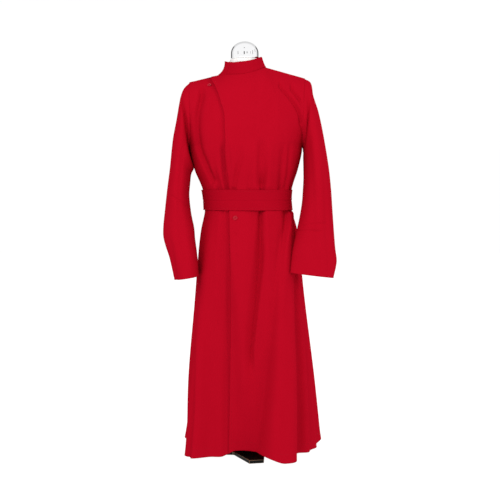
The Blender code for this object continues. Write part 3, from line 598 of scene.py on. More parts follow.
def cloth_sheet(name, places, material, thickness=SHEET_THICKNESS, tube=False):
    """A sheet whose vertices lie at places, an array of rows by columns of points."""
    rows, columns = places.shape[:2]
    work = bmesh.new()
    bmesh.ops.create_grid(work, x_segments=columns - 1, y_segments=rows - 1, size=1)
    item = new_object(name, work, material)
    mesh = item.data
    flat = np.empty(len(mesh.vertices) * 3)
    mesh.vertices.foreach_get("co", flat)
    flat = flat.reshape(-1, 3)
    column = np.rint((flat[:, 0] + 1) / 2 * (columns - 1)).astype(int)
    row = np.rint((flat[:, 1] + 1) / 2 * (rows - 1)).astype(int)
    mesh.vertices.foreach_set("co", places[row, column].ravel())

    steps = np.linalg.norm(np.diff(places, axis=1), axis=2)
    widest = steps[np.argmax(steps.sum(axis=1))]
    along = np.concatenate(([0], np.cumsum(widest)))
    rises = np.linalg.norm(np.diff(places, axis=0), axis=2).mean(axis=1)
    up = np.concatenate(([0], np.cumsum(rises)))
    corner = np.empty(len(mesh.loops), int)
    mesh.loops.foreach_get("vertex_index", corner)
    layer = mesh.uv_layers.new(name="cut")
    layer.data.foreach_set("uv", np.stack((along[column[corner]], up[row[corner]]), axis=1).ravel())
    mesh.update()
    if tube:
        work = bmesh.new()
        work.from_mesh(mesh)
        bmesh.ops.remove_doubles(work, verts=work.verts, dist=WELD)
        work.to_mesh(mesh)
        work.free()
    mesh.shade_smooth()
    wall = item.modifiers.new("Cloth thickness", "SOLIDIFY")
    wall.thickness, wall.offset = thickness, -1
    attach(item, "root")
    area = sum(face.area for face in mesh.polygons)
    print(f"{name}: {rows} x {columns} points, {along[-1]:.3f} x {up[-1]:.3f} m,",
          f"{area:.3f} square m")
    return item


# %% [markdown]
# ## Scarlet twill
# The cloth is a wool and polyester blend woven as a twill: each thread passes over two and under
# one, and the steps make fine diagonal ribs. It is dyed in the piece, so its colour is even, with
# only a slight cloudiness. It is matt, but the loose fibres on its surface catch light at grazing
# angles, which a weak sheen gives. The ribs are 0.5 mm apart on the real cloth. They are drawn 1.4
# mm apart, or they would vanish.

# %% Twill for the robe and for its stiff bands
TWILL_RIB = 0.0014
TWILL_SLANT = math.radians(60)  # that the ribs rise at
WAVE_PERIOD = 2 * math.pi / 20  # of Blender's band pattern at a scale of 1
CLOUD_SIZE, FUZZ_SIZE = 0.09, 0.004  # of the dye's clouds and of the lifted fibres


def twill(name, light, dark):
    """Woven cloth whose ribs follow the UV map in metres."""
    material, shader = new_material(name, Roughness=0.88, Specular_IOR_Level=0.0, Sheen_Weight=0.03,
                                    Sheen_Roughness=0.5, Sheen_Tint=linear("ff3040"))
    cut = add_node(material, "ShaderNodeUVMap", uv_map="cut").outputs["UV"]
    slanted = add_node(material, "ShaderNodeMapping",
                       {"Vector": cut, "Rotation": (0, 0, TWILL_SLANT)})
    ribs = add_node(material, "ShaderNodeTexWave",
                    {"Vector": slanted.outputs["Vector"], "Scale": WAVE_PERIOD / TWILL_RIB,
                     "Distortion": 0.6, "Detail": 1.0, "Detail Scale": 3.0},
                    wave_type="BANDS", bands_direction="X")
    clouds = add_node(material, "ShaderNodeTexNoise",
                      {"Vector": cut, "Scale": 1 / CLOUD_SIZE, "Detail": 3.0, "Roughness": 0.6})
    fuzz = add_node(material, "ShaderNodeTexNoise",
                    {"Vector": cut, "Scale": 1 / FUZZ_SIZE, "Detail": 2.0})
    tone = add_node(material, "ShaderNodeMix",
                    {"Factor": clouds.outputs["Fac"], "A": linear(dark), "B": linear(light)},
                    data_type="RGBA")
    ribbed = add_node(material, "ShaderNodeBump",
                      {"Strength": 0.22, "Distance": 0.0003, "Height": ribs.outputs["Fac"]})
    fuzzy = add_node(material, "ShaderNodeBump",
                     {"Strength": 0.18, "Distance": 0.0006, "Height": fuzz.outputs["Fac"],
                      "Normal": ribbed.outputs["Normal"]})
    links = material.node_tree.links
    links.new(tone.outputs["Result"], shader.inputs["Base Color"])
    links.new(fuzzy.outputs["Normal"], shader.inputs["Normal"])
    return material


scarlet_twill = twill("wool_blend_twill_scarlet", "af0a20", "a9081d")
# The collar and the sash lie flat as stiff bands, and take a darker copy of the same twill, which
# paints shade on them.
shaded_twill_copy = twill("twill_scarlet_painted_shade", "a8081e", "a2071b")
print("Twill ribs are drawn", TWILL_RIB * 1000, "mm apart")

# %% [markdown]
# ## Fronts and back
# The over front is the big piece: it reaches from the left side seam right across the chest, and
# its free edge climbs in a curve to the right shoulder. The under front starts at the right side
# seam and runs on below it. Both are cut from the same grid of lines, and the under one lies a
# layer lower, so they can't cross.

# %% Lines across the fronts
OVERLAP_LINE = ((0.0, -0.177), (0.30, -0.170), (0.60, -0.188), (0.78, -0.240), (0.88, -0.250),
                (1.0, -0.213), (1.20, -0.227), (1.33, -0.250), (1.50, -0.359), (1.65, -0.500),
                (1.80, -0.605), (2.0, -0.644))
NECK_LINE_SHARE = 0.62      # of the overlap line's s, for the line that runs up to the neck point
# The over front's edge stands up a little. By level.
EDGE_LIFT = ((0.0, 0.0006), (0.70, 0.0008), (0.79, 0.0002), (0.86, 0.0004), (1.0, 0.0014),
             (1.8, 0.0014), (2.0, 0.0004))
EDGE_REACH = 0.05           # in s
BODY_ROWS, YOKE_ROWS = 250, 64
OVER_COLUMNS, UNDER_COLUMNS, BACK_COLUMNS = (14, 26, 32, 50), (46, 12), (36, 30, 30, 36)

levels = np.concatenate((np.linspace(0, 1, BODY_ROWS + 1), np.linspace(1, 2, YOKE_ROWS + 1)[1:]))
overlap = smooth_line(OVERLAP_LINE, levels)


def lines_between(keys, counts):
    """Columns of s for every row, evenly spaced between key lines that may bend from row to row."""
    keys = [np.broadcast_to(np.asarray(key, float), levels.shape) for key in keys]
    parts = [keys[0][:, None]]
    for start, end, count in zip(keys, keys[1:], counts):
        share = np.linspace(0, 1, count + 1)[1:]
        parts.append(start[:, None] + (end - start)[:, None] * share)
    return np.concatenate(parts, axis=1)


neck_right = overlap * NECK_LINE_SHARE
neck_right += (-NECK_PART - neck_right) * ease(levels - 1)
over_s = lines_between((overlap, neck_right, 0.0, NECK_PART, 1.0), OVER_COLUMNS)
over_places = cloth_point(over_s, levels[:, None], -1)
from_edge = over_s - overlap[:, None]
lift = smooth_line(EDGE_LIFT, levels)[:, None] * np.exp(-(from_edge / EDGE_REACH)**2)
over_places = over_places + grid_normals(over_places) * lift[..., None]
front_left_cloth = cloth_sheet("front_left_cloth", over_places, scarlet_twill)

# %% [markdown]
# The under front shows at the wearer's right only, yet it runs on below the over front by a hand's
# width, as a real overlap does. It starts at the side seam at full height and sinks by one layer of
# cloth before it reaches the over front's edge, which can then cast its thin shadow.

# %% The under front
UNDER_EASE = 0.45           # width in s over which the under front comes up to the surface
UNDER_EASE_SHARE = 0.95     # at most this share of the way from the overlap to the side seam
UNDER_REACH = 0.30          # in s, how far the under front runs on below the over one
UNDER_PAST_NECK = 0.10      # and how far past the neck's line at the most
# It sinks beside the over front's edge too. By level.
EDGE_SINK = ((0.0, 0.0016), (0.40, 0.0020), (0.70, 0.0026), (0.79, 0.0020), (0.86, 0.0030),
             (0.92, 0.0060), (1.1, 0.0040), (1.5, 0.0035), (1.85, 0.0040), (2.0, 0.0005))
SINK_SHIFT, SINK_BEFORE, SINK_AFTER = 0.012, 0.045, 0.06  # in s, from the edge and to each side

under_end = np.minimum(overlap + UNDER_REACH, neck_right + UNDER_PAST_NECK)
under_s = lines_between((-1.0, overlap, under_end), UNDER_COLUMNS)
under_places = cloth_point(under_s, levels[:, None], -1)
width = np.minimum(UNDER_EASE, (1 + overlap) * UNDER_EASE_SHARE)[:, None]
from_edge = under_s - overlap[:, None]
sunk = LAYER * ease(from_edge / width + 1)
beside = from_edge + SINK_SHIFT
reach = np.where(beside < 0, SINK_BEFORE, SINK_AFTER)
sunk = sunk + smooth_line(EDGE_SINK, levels)[:, None] * np.exp(-(beside / reach)**2)
under_places = under_places - grid_normals(under_places) * sunk[..., None]
front_right_cloth = cloth_sheet("front_right_cloth", under_places, scarlet_twill)

# %% [markdown]
# The back is one piece, cut on the fold, from side seam to side seam. It is the simplest panel,
# with the same rows and straight columns. Its first and last columns meet those of the fronts, and
# that is where the side seams are.

# %% The back
back_s = lines_between((1.0, NECK_PART, 0.0, -NECK_PART, -1.0), BACK_COLUMNS)
back_places = cloth_point(back_s, levels[:, None], 1)
back_cloth = cloth_sheet("back_cloth", back_places, scarlet_twill)

# %% [markdown]
# ## Sleeves
# A set-in sleeve starts on the armhole's edge and hangs forward from it, since the dress form has
# no arms to fill it. Each row below is a slanting ring round the sleeve: its outer and inner edge
# seen from the front, its middle in depth and its half depth. A smooth curve runs through each
# column.

# %% Sleeve rings
SLEEVE_POINTS, SLEEVE_ROWS = 96, 170
SLEEVE_CALM = 0.03          # share of the length by the armhole where the folds die out
SEAM_LAP, SEAM_SINK = 0.0030, 0.0016  # a sleeve starts this far inside the armhole's edge and face
# outer x and z, inner x and z, middle in depth, half depth, in millimetres
SLEEVE_LEFT = (
    (222.6, 1286.1, 198, 1061.5, 2, 71.5),
    (231, 1242.4, 198.8, 1040.7, -3, 75),
    (247, 1192.3, 199.5, 1016, -9, 77.5),
    (257.6, 1146.1, 199.7, 990.3, -16, 78),
    (269, 1084.1, 199.5, 956.6, -26, 77),
    (283, 993.2, 196.5, 914, -41, 72),
    (290, 919.9, 192.5, 871.2, -54, 66),
    (294, 849.3, 183.5, 821.5, -68, 57),
    (297.5, 784.6, 171.5, 769.6, -84, 45),
    (301.5, 721.7, 159.5, 714.7, -101, 32),
    (306, 676.7, 154.5, 677.7, -110, 24),
    (294.4, 621.5, 150.6, 639.2, -120, 18),
)
SLEEVE_RIGHT = (
    (-213, 1266.9, -197.8, 1061.5, 2, 71.5),
    (-222.5, 1244.3, -195.8, 1041.7, -2, 74.5),
    (-229, 1213.4, -189.3, 1018, -7, 78),
    (-238.5, 1156, -181.2, 995.2, -14, 81),
    (-250, 1092, -190, 973.5, -22, 83),
    (-260, 993.2, -193.5, 940.8, -31, 82),
    (-268.5, 923.9, -196, 899.1, -40, 78),
    (-276.5, 849.4, -189, 837.5, -49, 70),
    (-282, 787.6, -178.5, 787.6, -59, 63),
    (-279.8, 751.7, -175, 751.7, -66, 61),
    (-259, 684.8, -166.8, 692.8, -78, 58),
    (-242.3, 613.6, -161.5, 625.6, -88, 54),
)

# A fold runs down the sleeve or round it. Its path is (place along, place across): down, these are
# the share of the length from the armhole and the degrees round from the outer edge by way of the
# front, and round, they are swapped. Half widths before and after the path, depths at its start and
# end in metres, and how far each end fades.
SleeveFold = namedtuple("SleeveFold", "hand way path before after deep_start deep_end fade")
SLEEVE_FOLDS = [SleeveFold(*row) for row in (
    # the crease where a sleeve turns in under the arm
    (-1, "round", ((45, 0.075), (70, 0.052), (95, 0.040), (117, 0.034), (150, 0.052), (200, 0.10),
                   (260, 0.08)), 0.012, 0.028, -0.011, -0.008, 22),
    (1, "round", ((75, 0.032), (98, 0.047), (124, 0.060), (180, 0.090), (260, 0.08)),
     0.012, 0.026, -0.007, -0.008, 30),
    # long folds down the front
    (-1, "down", ((0.18, 94), (0.35, 98), (0.60, 101), (0.85, 101)),
     17, 15, -0.0045, -0.0050, 0.12),
    (-1, "down", ((0.80, 58), (0.90, 46), (1.00, 38)), 14, 9, -0.0030, -0.0060, 0.10),
    (1, "down", ((0.20, 112), (0.50, 109), (0.85, 92)), 13, 18, -0.0040, -0.0040, 0.12),
    (1, "down", ((0.45, 62), (0.75, 52), (1.00, 42)), 12, 12, -0.0025, -0.0050, 0.12),
    # faint creases across the elbows
    (1, "round", ((80, 0.742), (115, 0.728), (165, 0.722)), 0.009, 0.007, -0.0030, -0.0030, 22),
    (1, "round", ((60, 0.700), (100, 0.690), (140, 0.687)), 0.008, 0.008, -0.0022, -0.0022, 20),
    (-1, "round", ((70, 0.520), (110, 0.540), (160, 0.560)), 0.010, 0.010, -0.0025, -0.0030, 22),
    # the back
    (-1, "down", ((0.15, 262), (0.50, 268), (0.88, 258)), 15, 17, -0.0050, -0.0045, 0.12),
    (1, "down", ((0.15, 268), (0.55, 256), (0.90, 264)), 17, 14, -0.0050, -0.0045, 0.12),
    (-1, "round", ((215, 0.600), (255, 0.580), (310, 0.590)), 0.010, 0.008, -0.0028, -0.0028, 22),
    (1, "round", ((225, 0.640), (265, 0.655), (315, 0.650)), 0.010, 0.008, -0.0028, -0.0028, 22),
)]


def sleeve_fold_depth(share, turn, hand):
    """Sum of a sleeve's folds."""
    share, turn = np.broadcast_arrays(share, turn)
    total = np.zeros(share.shape)
    for fold in SLEEVE_FOLDS:
        if fold.hand == hand:
            along, across = (share, turn) if fold.way == "down" else (turn, share)
            total += stroke_depth((*fold[2:], fold.fade), along, across)
    return total


def sleeve_places(rings, hand):
    """Points of a sleeve. hand is +1 on +X and -1 on -X."""
    turn = np.linspace(0, 2 * np.pi, SLEEVE_POINTS + 1)
    half = SLEEVE_POINTS / 2
    k = np.arange(SLEEVE_POINTS + 1)
    front_level = 2 - np.clip(k, 0, half) / half
    back_level = np.clip(k, half, 2 * half) / half
    front = cloth_point(np.full(k.shape, float(hand)), front_level, -1)
    back = cloth_point(np.full(k.shape, float(hand)), back_level, 1)
    armhole = np.where((k <= half)[:, None], front, back)
    armhole[:, 0] -= hand * SEAM_LAP
    loops = [armhole]
    for outer_x, outer_z, inner_x, inner_z, middle_y, half_depth in np.array(rings) / 1000:
        outer = np.array((outer_x, middle_y, outer_z))
        inner = np.array((inner_x, middle_y, inner_z))
        forward = np.array((0, -half_depth, 0))
        loops.append((outer + inner) / 2 + np.cos(turn)[:, None] * (outer - inner) / 2
                     + np.sin(turn)[:, None] * forward)
    loops = np.array(loops)
    travel = np.linalg.norm(np.diff(loops.mean(axis=1), axis=0), axis=1)
    at = np.concatenate(([0], np.cumsum(travel)))
    rows = np.linspace(0, at[-1], SLEEVE_ROWS + 1)
    places = np.empty((len(rows), SLEEVE_POINTS + 1, 3))
    for point, axis in np.ndindex(SLEEVE_POINTS + 1, 3):
        places[:, point, axis] = smooth_line(list(zip(at, loops[:, point, axis])), rows)
    share = (rows / at[-1])[:, None]
    outward = unit(places - places[:, :-1].mean(axis=1, keepdims=True))
    depth = sleeve_fold_depth(share, np.degrees(turn)[None, :], hand) * ease(share / SLEEVE_CALM)
    depth = depth - SEAM_SINK * ease(1 - share / SLEEVE_CALM)
    places = places + outward * depth[..., None]
    return places[:, ::-1] if hand > 0 else places


left_sleeve_places = sleeve_places(SLEEVE_LEFT, 1)
right_sleeve_places = sleeve_places(SLEEVE_RIGHT, -1)
sleeve_left_cloth = cloth_sheet("sleeve_left_cloth", left_sleeve_places, scarlet_twill, tube=True)
sleeve_right_cloth = cloth_sheet("sleeve_right_cloth", right_sleeve_places, scarlet_twill,
                                 tube=True)

# %% [markdown]
# ## Collar
# The standing collar is a stiffened band. Its left end lies over its right one on the wearer's
# right side, where the two make a small step in its upper edge.

# %% Collar band
COLLAR_END, COLLAR_LAP = -52, 30
COLLAR_HEIGHTS = ((-52, 0.0325), (-20, 0.0340), (20, 0.0330), (60, 0.0345), (90, 0.0335),
                  (180, 0.0360), (250, 0.0370), (272, 0.0405), (300, 0.0360), (338, 0.0330))
COLLAR_LEAN = ((-52, 0.002), (0, 0.004), (90, 0.012), (180, 0.006), (270, 0.000), (338, 0.003))
# how far its foot laps down over the body, by angle, and how high above it
COLLAR_FOOT = ((-52, 0.007), (0, 0.008), (60, 0.004), (90, 0.0018), (130, 0.004), (180, 0.007),
               (338, 0.007))
FOOT_OVER, FOOT_SHORT = 0.0017, 0.0015  # a foot shorter than the second stays at the neckline
COLLAR_FLARE, FLARE_ANGLE, FLARE_HALF = 0.015, -90, 38  # and further over the right shoulder
COLLAR_BEND, COLLAR_RISE = 2.5, 1.2  # powers of the height, for how its foot curves out and rises
COLLAR_COLUMNS, COLLAR_ROWS, COLLAR_THICKNESS = 240, 22, 0.0018
NEAR_NECK_S, NEAR_NECK_LEVEL = (-0.75, 0.75, 151), (1.80, 2.0, 25)  # first, last and how many
NEAR_POINTS = 4             # of the body's cloth that give its height at a place
NO_DIVIDE = 1e-7            # square metres, so that a place on a point doesn't divide by nothing


def body_height(places):
    """Height of the body's cloth at places seen from above, near the neck."""
    s, level = np.linspace(*NEAR_NECK_S)[None, :], np.linspace(*NEAR_NECK_LEVEL)[:, None]
    cloth = np.concatenate([cloth_point(s, level, side).reshape(-1, 3) for side in (-1, 1)])
    heights = []
    for place in places:
        far = ((cloth[:, :2] - place[:2])**2).sum(axis=1)
        near = np.argpartition(far, NEAR_POINTS)[:NEAR_POINTS]
        weight = 1 / (far[near] + NO_DIVIDE)
        heights.append((cloth[near, 2] * weight).sum() / weight.sum())
    return np.array(heights)


angle = np.linspace(COLLAR_END, COLLAR_END + 360 + COLLAR_LAP, COLLAR_COLUMNS + 1)[None, :]
share = np.linspace(0, 1, COLLAR_ROWS + 1)[:, None]
base = neckline_point(angle)
out = base - np.array((NECK_X, NECK_Y, 0))
out[..., 2] = 0
out = unit(out)
sunk = LAYER * ease((angle - COLLAR_END - 360) / COLLAR_LAP + 1)
flare = COLLAR_FLARE * np.exp(-(angle_between(angle, FLARE_ANGLE) / FLARE_HALF)**2)
outward = (smooth_line(COLLAR_FOOT, angle) + flare) * (1 - share)**COLLAR_BEND
on_body = base + out * outward[..., None]
ground = body_height(on_body.reshape(-1, 3)).reshape(on_body.shape[:2])
ground = np.where(outward > FOOT_SHORT, ground, base[..., 2])
rise = smooth_line(COLLAR_HEIGHTS, angle) * share**COLLAR_RISE + FOOT_OVER - sunk * (1 - share)
collar_places = on_body - out * (sunk + smooth_line(COLLAR_LEAN, angle) * share)[..., None]
collar_places[..., 2] = ground + rise
upper_edge = collar_places[-1, :, 2]
print("Collar's upper edge, highest and lowest:",
      upper_edge.max().round(4), upper_edge.min().round(4))
# Its twill is the darker copy, which paints shade on the collar.
collar_cloth = cloth_sheet("collar_cloth", collar_places, shaded_twill_copy, COLLAR_THICKNESS)

# %% [markdown]
# ## Sash belt
# The sash is a doubled band of the same cloth, 70 mm deep. It goes once round the waist and its end
# laps over its start at the wearer's right side, where it stands a little proud.

# %% Belt band
BELT_CLOTH = 0.0025
BELT_START, BELT_LAP, BELT_RAMP = -112, 27, 30
BELT_COLUMNS, BELT_ROWS = 300, 36
# share of the height, half width, depth: the two stitched lines, then the crease between them and
# the swelling above it
BELT_LINES = ((0.09, 0.025, -0.0006), (0.91, 0.025, -0.0003), (0.47, 0.030, -0.0009),
              (0.54, 0.050, 0.0004))
BELT_WAVE, BELT_WAVES = 0.0005, 5
HALF_DEGREE = 0.5           # on each side of a point, for the way that the ring faces there

past = np.linspace(0, 360 + BELT_LAP, BELT_COLUMNS + 1)[None, :]
height = np.linspace(BELT_LOW, BELT_HIGH, BELT_ROWS + 1)[:, None]
turn = BELT_START + past
ring = section_point(turn, height)
ahead = section_point(turn + HALF_DEGREE, height) - section_point(turn - HALF_DEGREE, height)
ring_out = unit(stacked(ahead[..., 1], -ahead[..., 0], np.zeros(ring.shape[:2])))
raised = GAP + BELT_CLOTH + (BELT_CLOTH + GAP) * ease((past - 360) / BELT_RAMP + 1)
share = (height - BELT_LOW) / (BELT_HIGH - BELT_LOW)
for middle, half, depth in BELT_LINES:
    raised = raised + depth * np.exp(-((share - middle) / half)**2)
raised = raised + BELT_WAVE * np.sin(np.radians(past * BELT_WAVES)) * np.sin(np.pi * share)
belt_places = ring + ring_out * raised[..., None]
# The sash takes the darker copy of the twill too, which paints shade on it.
belt_cloth = cloth_sheet("belt_cloth", belt_places, shaded_twill_copy, BELT_CLOTH)

# %% [markdown]
# ## What each piece was cut to
# Before it was sewn, each piece was a flat shape. Its greatest width and length are given here in
# metres, and its area in square metres, because none of them was a plain rectangle. A sleeve's
# width goes all the way round. Each thin cloth also takes the place of one solid.

CUTS = (
    (front_left_cloth, "front_left", (0.60, 1.37), 0.50, "hung", "form_body"),
    (front_right_cloth, "front_right", (0.40, 1.36), 0.34, "hung", "form_body"),
    (back_cloth, "back", (0.95, 1.37), 0.80, "hung", "form_body"),
    (sleeve_left_cloth, "sleeve_left", (0.59, 0.60), 0.21, "hung", "front_left_cloth"),
    (sleeve_right_cloth, "sleeve_right", (0.56, 0.60), 0.21, "hung", "front_right_cloth"),
    (collar_cloth, "collar", (0.48, 0.06), 0.020, "stretched", "front_left_cloth"),
    (belt_cloth, "belt", (0.92, 0.07), 0.064, "stretched", "front_left_cloth"),
)
for item, node, flat, area, held, rest in CUTS:
    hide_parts(node)
print("Cloth in the robe:", round(sum(row[3] for row in CUTS), 2), "square metres as it shows")

# %% [markdown]
# ## Stitches
# A tailored robe shows little of its sewing: a row of topstitching along the front's free edge, the
# sash and the collar, a hem caught by hand, and a row round each cuff. A stitch is a tiny swollen
# spindle of thread. Each one is a sphere with few faces, stretched along the row and laid on the
# cloth. They are drawn a little thicker than real ones.

# %% Rows of stitches
STITCH_PITCH, STITCH_LENGTH, STITCH_WIDTH, STITCH_HEIGHT = 0.0036, 0.0028, 0.0007, 0.0005
STITCH_BATCH = 30           # stitches made at a time, which is quick while a bmesh is small

# Polyester thread is spun from many fine fibres. It is nearly matt, and its twisted plies make it a
# little lighter and darker along its length.
PLY_SIZE = 0.0008
thread, thread_shader = new_material("spun_polyester_thread", Roughness=0.60,
                                     Specular_IOR_Level=0.06)
place = add_node(thread, "ShaderNodeTexCoord")
plies = add_node(thread, "ShaderNodeTexNoise",
                 {"Vector": place.outputs["Object"], "Scale": 1 / PLY_SIZE, "Detail": 1.0})
tone = add_node(thread, "ShaderNodeMix",
                {"Factor": plies.outputs["Fac"], "A": linear("98081c"), "B": linear("b00e26")},
                data_type="RGBA")
thread.node_tree.links.new(tone.outputs["Result"], thread_shader.inputs["Base Color"])
print("Stitches:", STITCH_LENGTH * 1000, "mm long, one every", STITCH_PITCH * 1000, "mm")

# %% [markdown]
# A row of stitches keeps an even distance from an edge, and the grid of the cloth has that edge as
# its first column or row. So the line is measured off along the grid. Each stitch takes its
# direction from the line and its tilt from the cloth, and sinks into the cloth at both ends, as
# pulled thread does.

# %% Lay stitches along a line
def line_inside(places, distance):
    """Places and normals of the line that runs this far inside a grid's first column."""
    steps = np.linalg.norm(np.diff(places, axis=1), axis=2)
    run = np.concatenate((np.zeros((len(places), 1)), np.cumsum(steps, axis=1)), axis=1)
    both = np.concatenate((places, grid_normals(places)), axis=2)
    line = [[np.interp(distance, run[i], both[i, :, k]) for k in range(6)]
            for i in range(len(places))]
    return np.array(line)


def frame_of(place, ahead, outward):
    """Matrix whose X axis points ahead and whose Z axis points out of the cloth."""
    z = Vector(outward).normalized()
    x = (Vector(ahead) - Vector(ahead).dot(z) * z).normalized()
    turn = Matrix((x, z.cross(x), z)).transposed().to_4x4()
    return Matrix.Translation(place) @ turn


def add_stitches(work, line, flip=1):
    """Stitches along a line of places and normals."""
    lengths = np.linalg.norm(np.diff(line[:, :3], axis=0), axis=1)
    run = np.concatenate(([0], np.cumsum(lengths)))
    size = Matrix.Diagonal((STITCH_LENGTH / 2, STITCH_WIDTH / 2, STITCH_HEIGHT / 2, 1))
    middles = np.arange(STITCH_PITCH / 2, run[-1], STITCH_PITCH)
    here = np.stack([np.interp(middles, run, line[:, k]) for k in range(6)], axis=1)
    ahead = np.gradient(here[:, :3], axis=0)
    for first in range(0, len(middles), STITCH_BATCH):
        batch = bmesh.new()
        for i in range(first, min(first + STITCH_BATCH, len(middles))):
            pose = frame_of(here[i, :3], ahead[i], here[i, 3:] * flip)
            bmesh.ops.create_uvsphere(batch, u_segments=6, v_segments=4, radius=1,
                                      matrix=pose @ size)
        mesh = bpy.data.meshes.new("batch")
        batch.to_mesh(mesh)
        batch.free()
        work.from_mesh(mesh)
        bpy.data.meshes.remove(mesh)


def sewn_piece(name, work, material):
    """Small piece that was made in a bmesh, smooth and riding on the robe."""
    item = new_object(name, work, material)
    item.data.shade_smooth()
    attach(item, "root")
    print(f"{name}: {len(item.data.polygons)} faces")
    return item


print("Stitches are made", STITCH_BATCH, "at a time")

# %% [markdown]
# Hem and cuffs are caught 25 to 30 mm up, which is how deep their cloth is turned in. The free
# edge, the collar and the sash are topstitched close to their edges, which keeps them flat.

# %% Sew the edges, the hem, the cuffs, the collar and the sash
EDGE_IN, HEM_UP, CUFF_UP, COLLAR_IN, BELT_IN = 0.007, 0.030, 0.025, 0.004, 0.006


def sew(name, grids, distance, flip=1):
    """Rows of stitches this far inside the first column of each grid."""
    work = bmesh.new()
    for places in grids:
        add_stitches(work, line_inside(places, distance), flip)
    sewn_piece(name, work, thread)


def edge_first(places):
    """The grid turned, with its lower edge as its first column."""
    return places.transpose(1, 0, 2)


hems = over_places, under_places, back_places
cuffs = left_sleeve_places[::-1], right_sleeve_places[::-1]
sew("front_edge_stitches", [over_places], EDGE_IN)
sew("hem_stitches", [edge_first(places) for places in hems], HEM_UP, -1)
sew("cuff_stitches", [edge_first(places) for places in cuffs], CUFF_UP)
sew("collar_stitches", [edge_first(collar_places[::-1])], COLLAR_IN)
work = bmesh.new()
add_stitches(work, line_inside(edge_first(belt_places), BELT_IN), -1)
add_stitches(work, line_inside(edge_first(belt_places[::-1]), BELT_IN))
sewn_piece("belt_stitches", work, thread)

# %% [markdown]
# ## Buttons
# The robe closes with small two-hole polyester buttons, dyed to match. A button is turned from a
# blank: a dished middle inside a rounded rim. Its floor is a disc with two holes, filled between
# three circles. The rim is made by extruding the outer circle along a profile, and each hole by
# extruding its circle down. Four turns of thread cross from hole to hole.

# %% Sizes and plastic of a button
BUTTON_THICK, BUTTON_STEPS = 0.0028, 48
BUTTON_FLOOR = (0.60, 0.55)                 # shares of its radius and of its thickness
BUTTON_RIM = ((0.70, 0.80), (0.78, 0.97), (0.86, 1.0), (0.94, 0.92), (0.99, 0.72), (1.0, 0.50),
              (0.95, 0.20), (0.86, 0.0))
HOLE_RADIUS, HOLE_APART, HOLE_DEPTH = 0.0009, 0.0019, 0.0012
HOLE_STEPS, THREAD_STEPS, THREAD_BENDS = 16, 8, 14
THREAD_RADIUS, THREAD_TURNS, THREAD_RISE = 0.00030, (-0.00045, -0.00015, 0.00015, 0.00045), 0.35

# Cast polyester is dyed right through, with a faint swirl from its casting. Polishing leaves it
# glossy, and washing and fingers dull it in patches.
SWIRL_SIZE = 0.004
button_red, button_shader = new_material("dyed_polyester_button", Specular_IOR_Level=0.22)
place = add_node(button_red, "ShaderNodeTexCoord")
swirl = add_node(button_red, "ShaderNodeTexNoise",
                 {"Vector": place.outputs["Object"], "Scale": 1 / SWIRL_SIZE, "Detail": 2.0,
                  "Distortion": 1.5})
tone = add_node(button_red, "ShaderNodeMix",
                {"Factor": swirl.outputs["Fac"], "A": linear("a30a20"), "B": linear("b51128")},
                data_type="RGBA")
rub = add_node(button_red, "ShaderNodeMapRange",
               {"Value": swirl.outputs["Fac"], "To Min": 0.30, "To Max": 0.48})
links = button_red.node_tree.links
links.new(tone.outputs["Result"], button_shader.inputs["Base Color"])
links.new(rub.outputs["Result"], button_shader.inputs["Roughness"])
print("Button:", BUTTON_THICK * 1000, "mm thick, with holes", 2 * HOLE_RADIUS * 1000, "mm wide")

# %% [markdown]
# A turned button is a list of radii and heights, so its shape can be read off the table above.
# Circles give it even rings of faces and keep its holes round, where cutting the holes out of a
# finished disc would leave ragged ones.

# %% Shape a button
def new_rim(work, edges, radius_scale, height):
    """Extrude a loop of edges, scale it about Z and set its height. Returns the new loop."""
    made = bmesh.ops.extrude_edge_only(work, edges=edges)["geom"]
    verts = [part for part in made if isinstance(part, bmesh.types.BMVert)]
    for vert in verts:
        vert.co.x *= radius_scale
        vert.co.y *= radius_scale
        vert.co.z = height
    ring = set(verts)
    return [part for part in made
            if isinstance(part, bmesh.types.BMEdge) and set(part.verts) <= ring]


def button_body(radius):
    """Two-hole button with its back on the plane Z = 0."""
    work = bmesh.new()
    floor = BUTTON_FLOOR[1] * BUTTON_THICK
    bmesh.ops.create_circle(work, segments=BUTTON_STEPS, radius=BUTTON_FLOOR[0] * radius,
                            matrix=Matrix.Translation((0, 0, floor)))
    outer = work.edges[:]
    holes = []
    for side in (-1, 1):
        before = set(work.edges)
        bmesh.ops.create_circle(work, segments=HOLE_STEPS, radius=HOLE_RADIUS,
                                matrix=Matrix.Translation((side * HOLE_APART, 0, floor)))
        holes.append([edge for edge in work.edges if edge not in before])
    bmesh.ops.triangle_fill(work, use_beauty=True, edges=work.edges[:])
    for hole in holes:
        bottom = new_rim(work, hole, 1.0, floor - HOLE_DEPTH)
        bmesh.ops.holes_fill(work, edges=bottom)
    last = BUTTON_FLOOR[0]
    for share, height in BUTTON_RIM:
        outer = new_rim(work, outer, share / last, height * BUTTON_THICK)
        last = share
    bmesh.ops.holes_fill(work, edges=outer)
    bmesh.ops.recalc_face_normals(work, faces=work.faces[:])
    return work


def ring_geometry(work, radius, matrix):
    """Vertices and edges of a small circle, which is then spun into a thread."""
    verts = bmesh.ops.create_circle(work, segments=THREAD_STEPS, radius=radius,
                                    matrix=matrix)["verts"]
    return verts + list({edge for vert in verts for edge in vert.link_edges})


def button_thread():
    """Turns of thread from one hole of a button to the other."""
    work = bmesh.new()
    for across in THREAD_TURNS:
        start = ring_geometry(work, THREAD_RADIUS, Matrix.Translation((HOLE_APART, across, 0)))
        bmesh.ops.spin(work, geom=start, cent=(0, across, 0), axis=(0, 1, 0), angle=-math.pi,
                       steps=THREAD_BENDS)
    lift = BUTTON_FLOOR[1] * BUTTON_THICK
    bmesh.ops.transform(work, verts=work.verts[:], matrix=Matrix.Translation((0, 0, lift))
                        @ Matrix.Diagonal((1, 1, THREAD_RISE, 1)))
    bmesh.ops.recalc_face_normals(work, faces=work.faces[:])
    return work


print("Turns of thread in a button:", len(THREAD_TURNS))

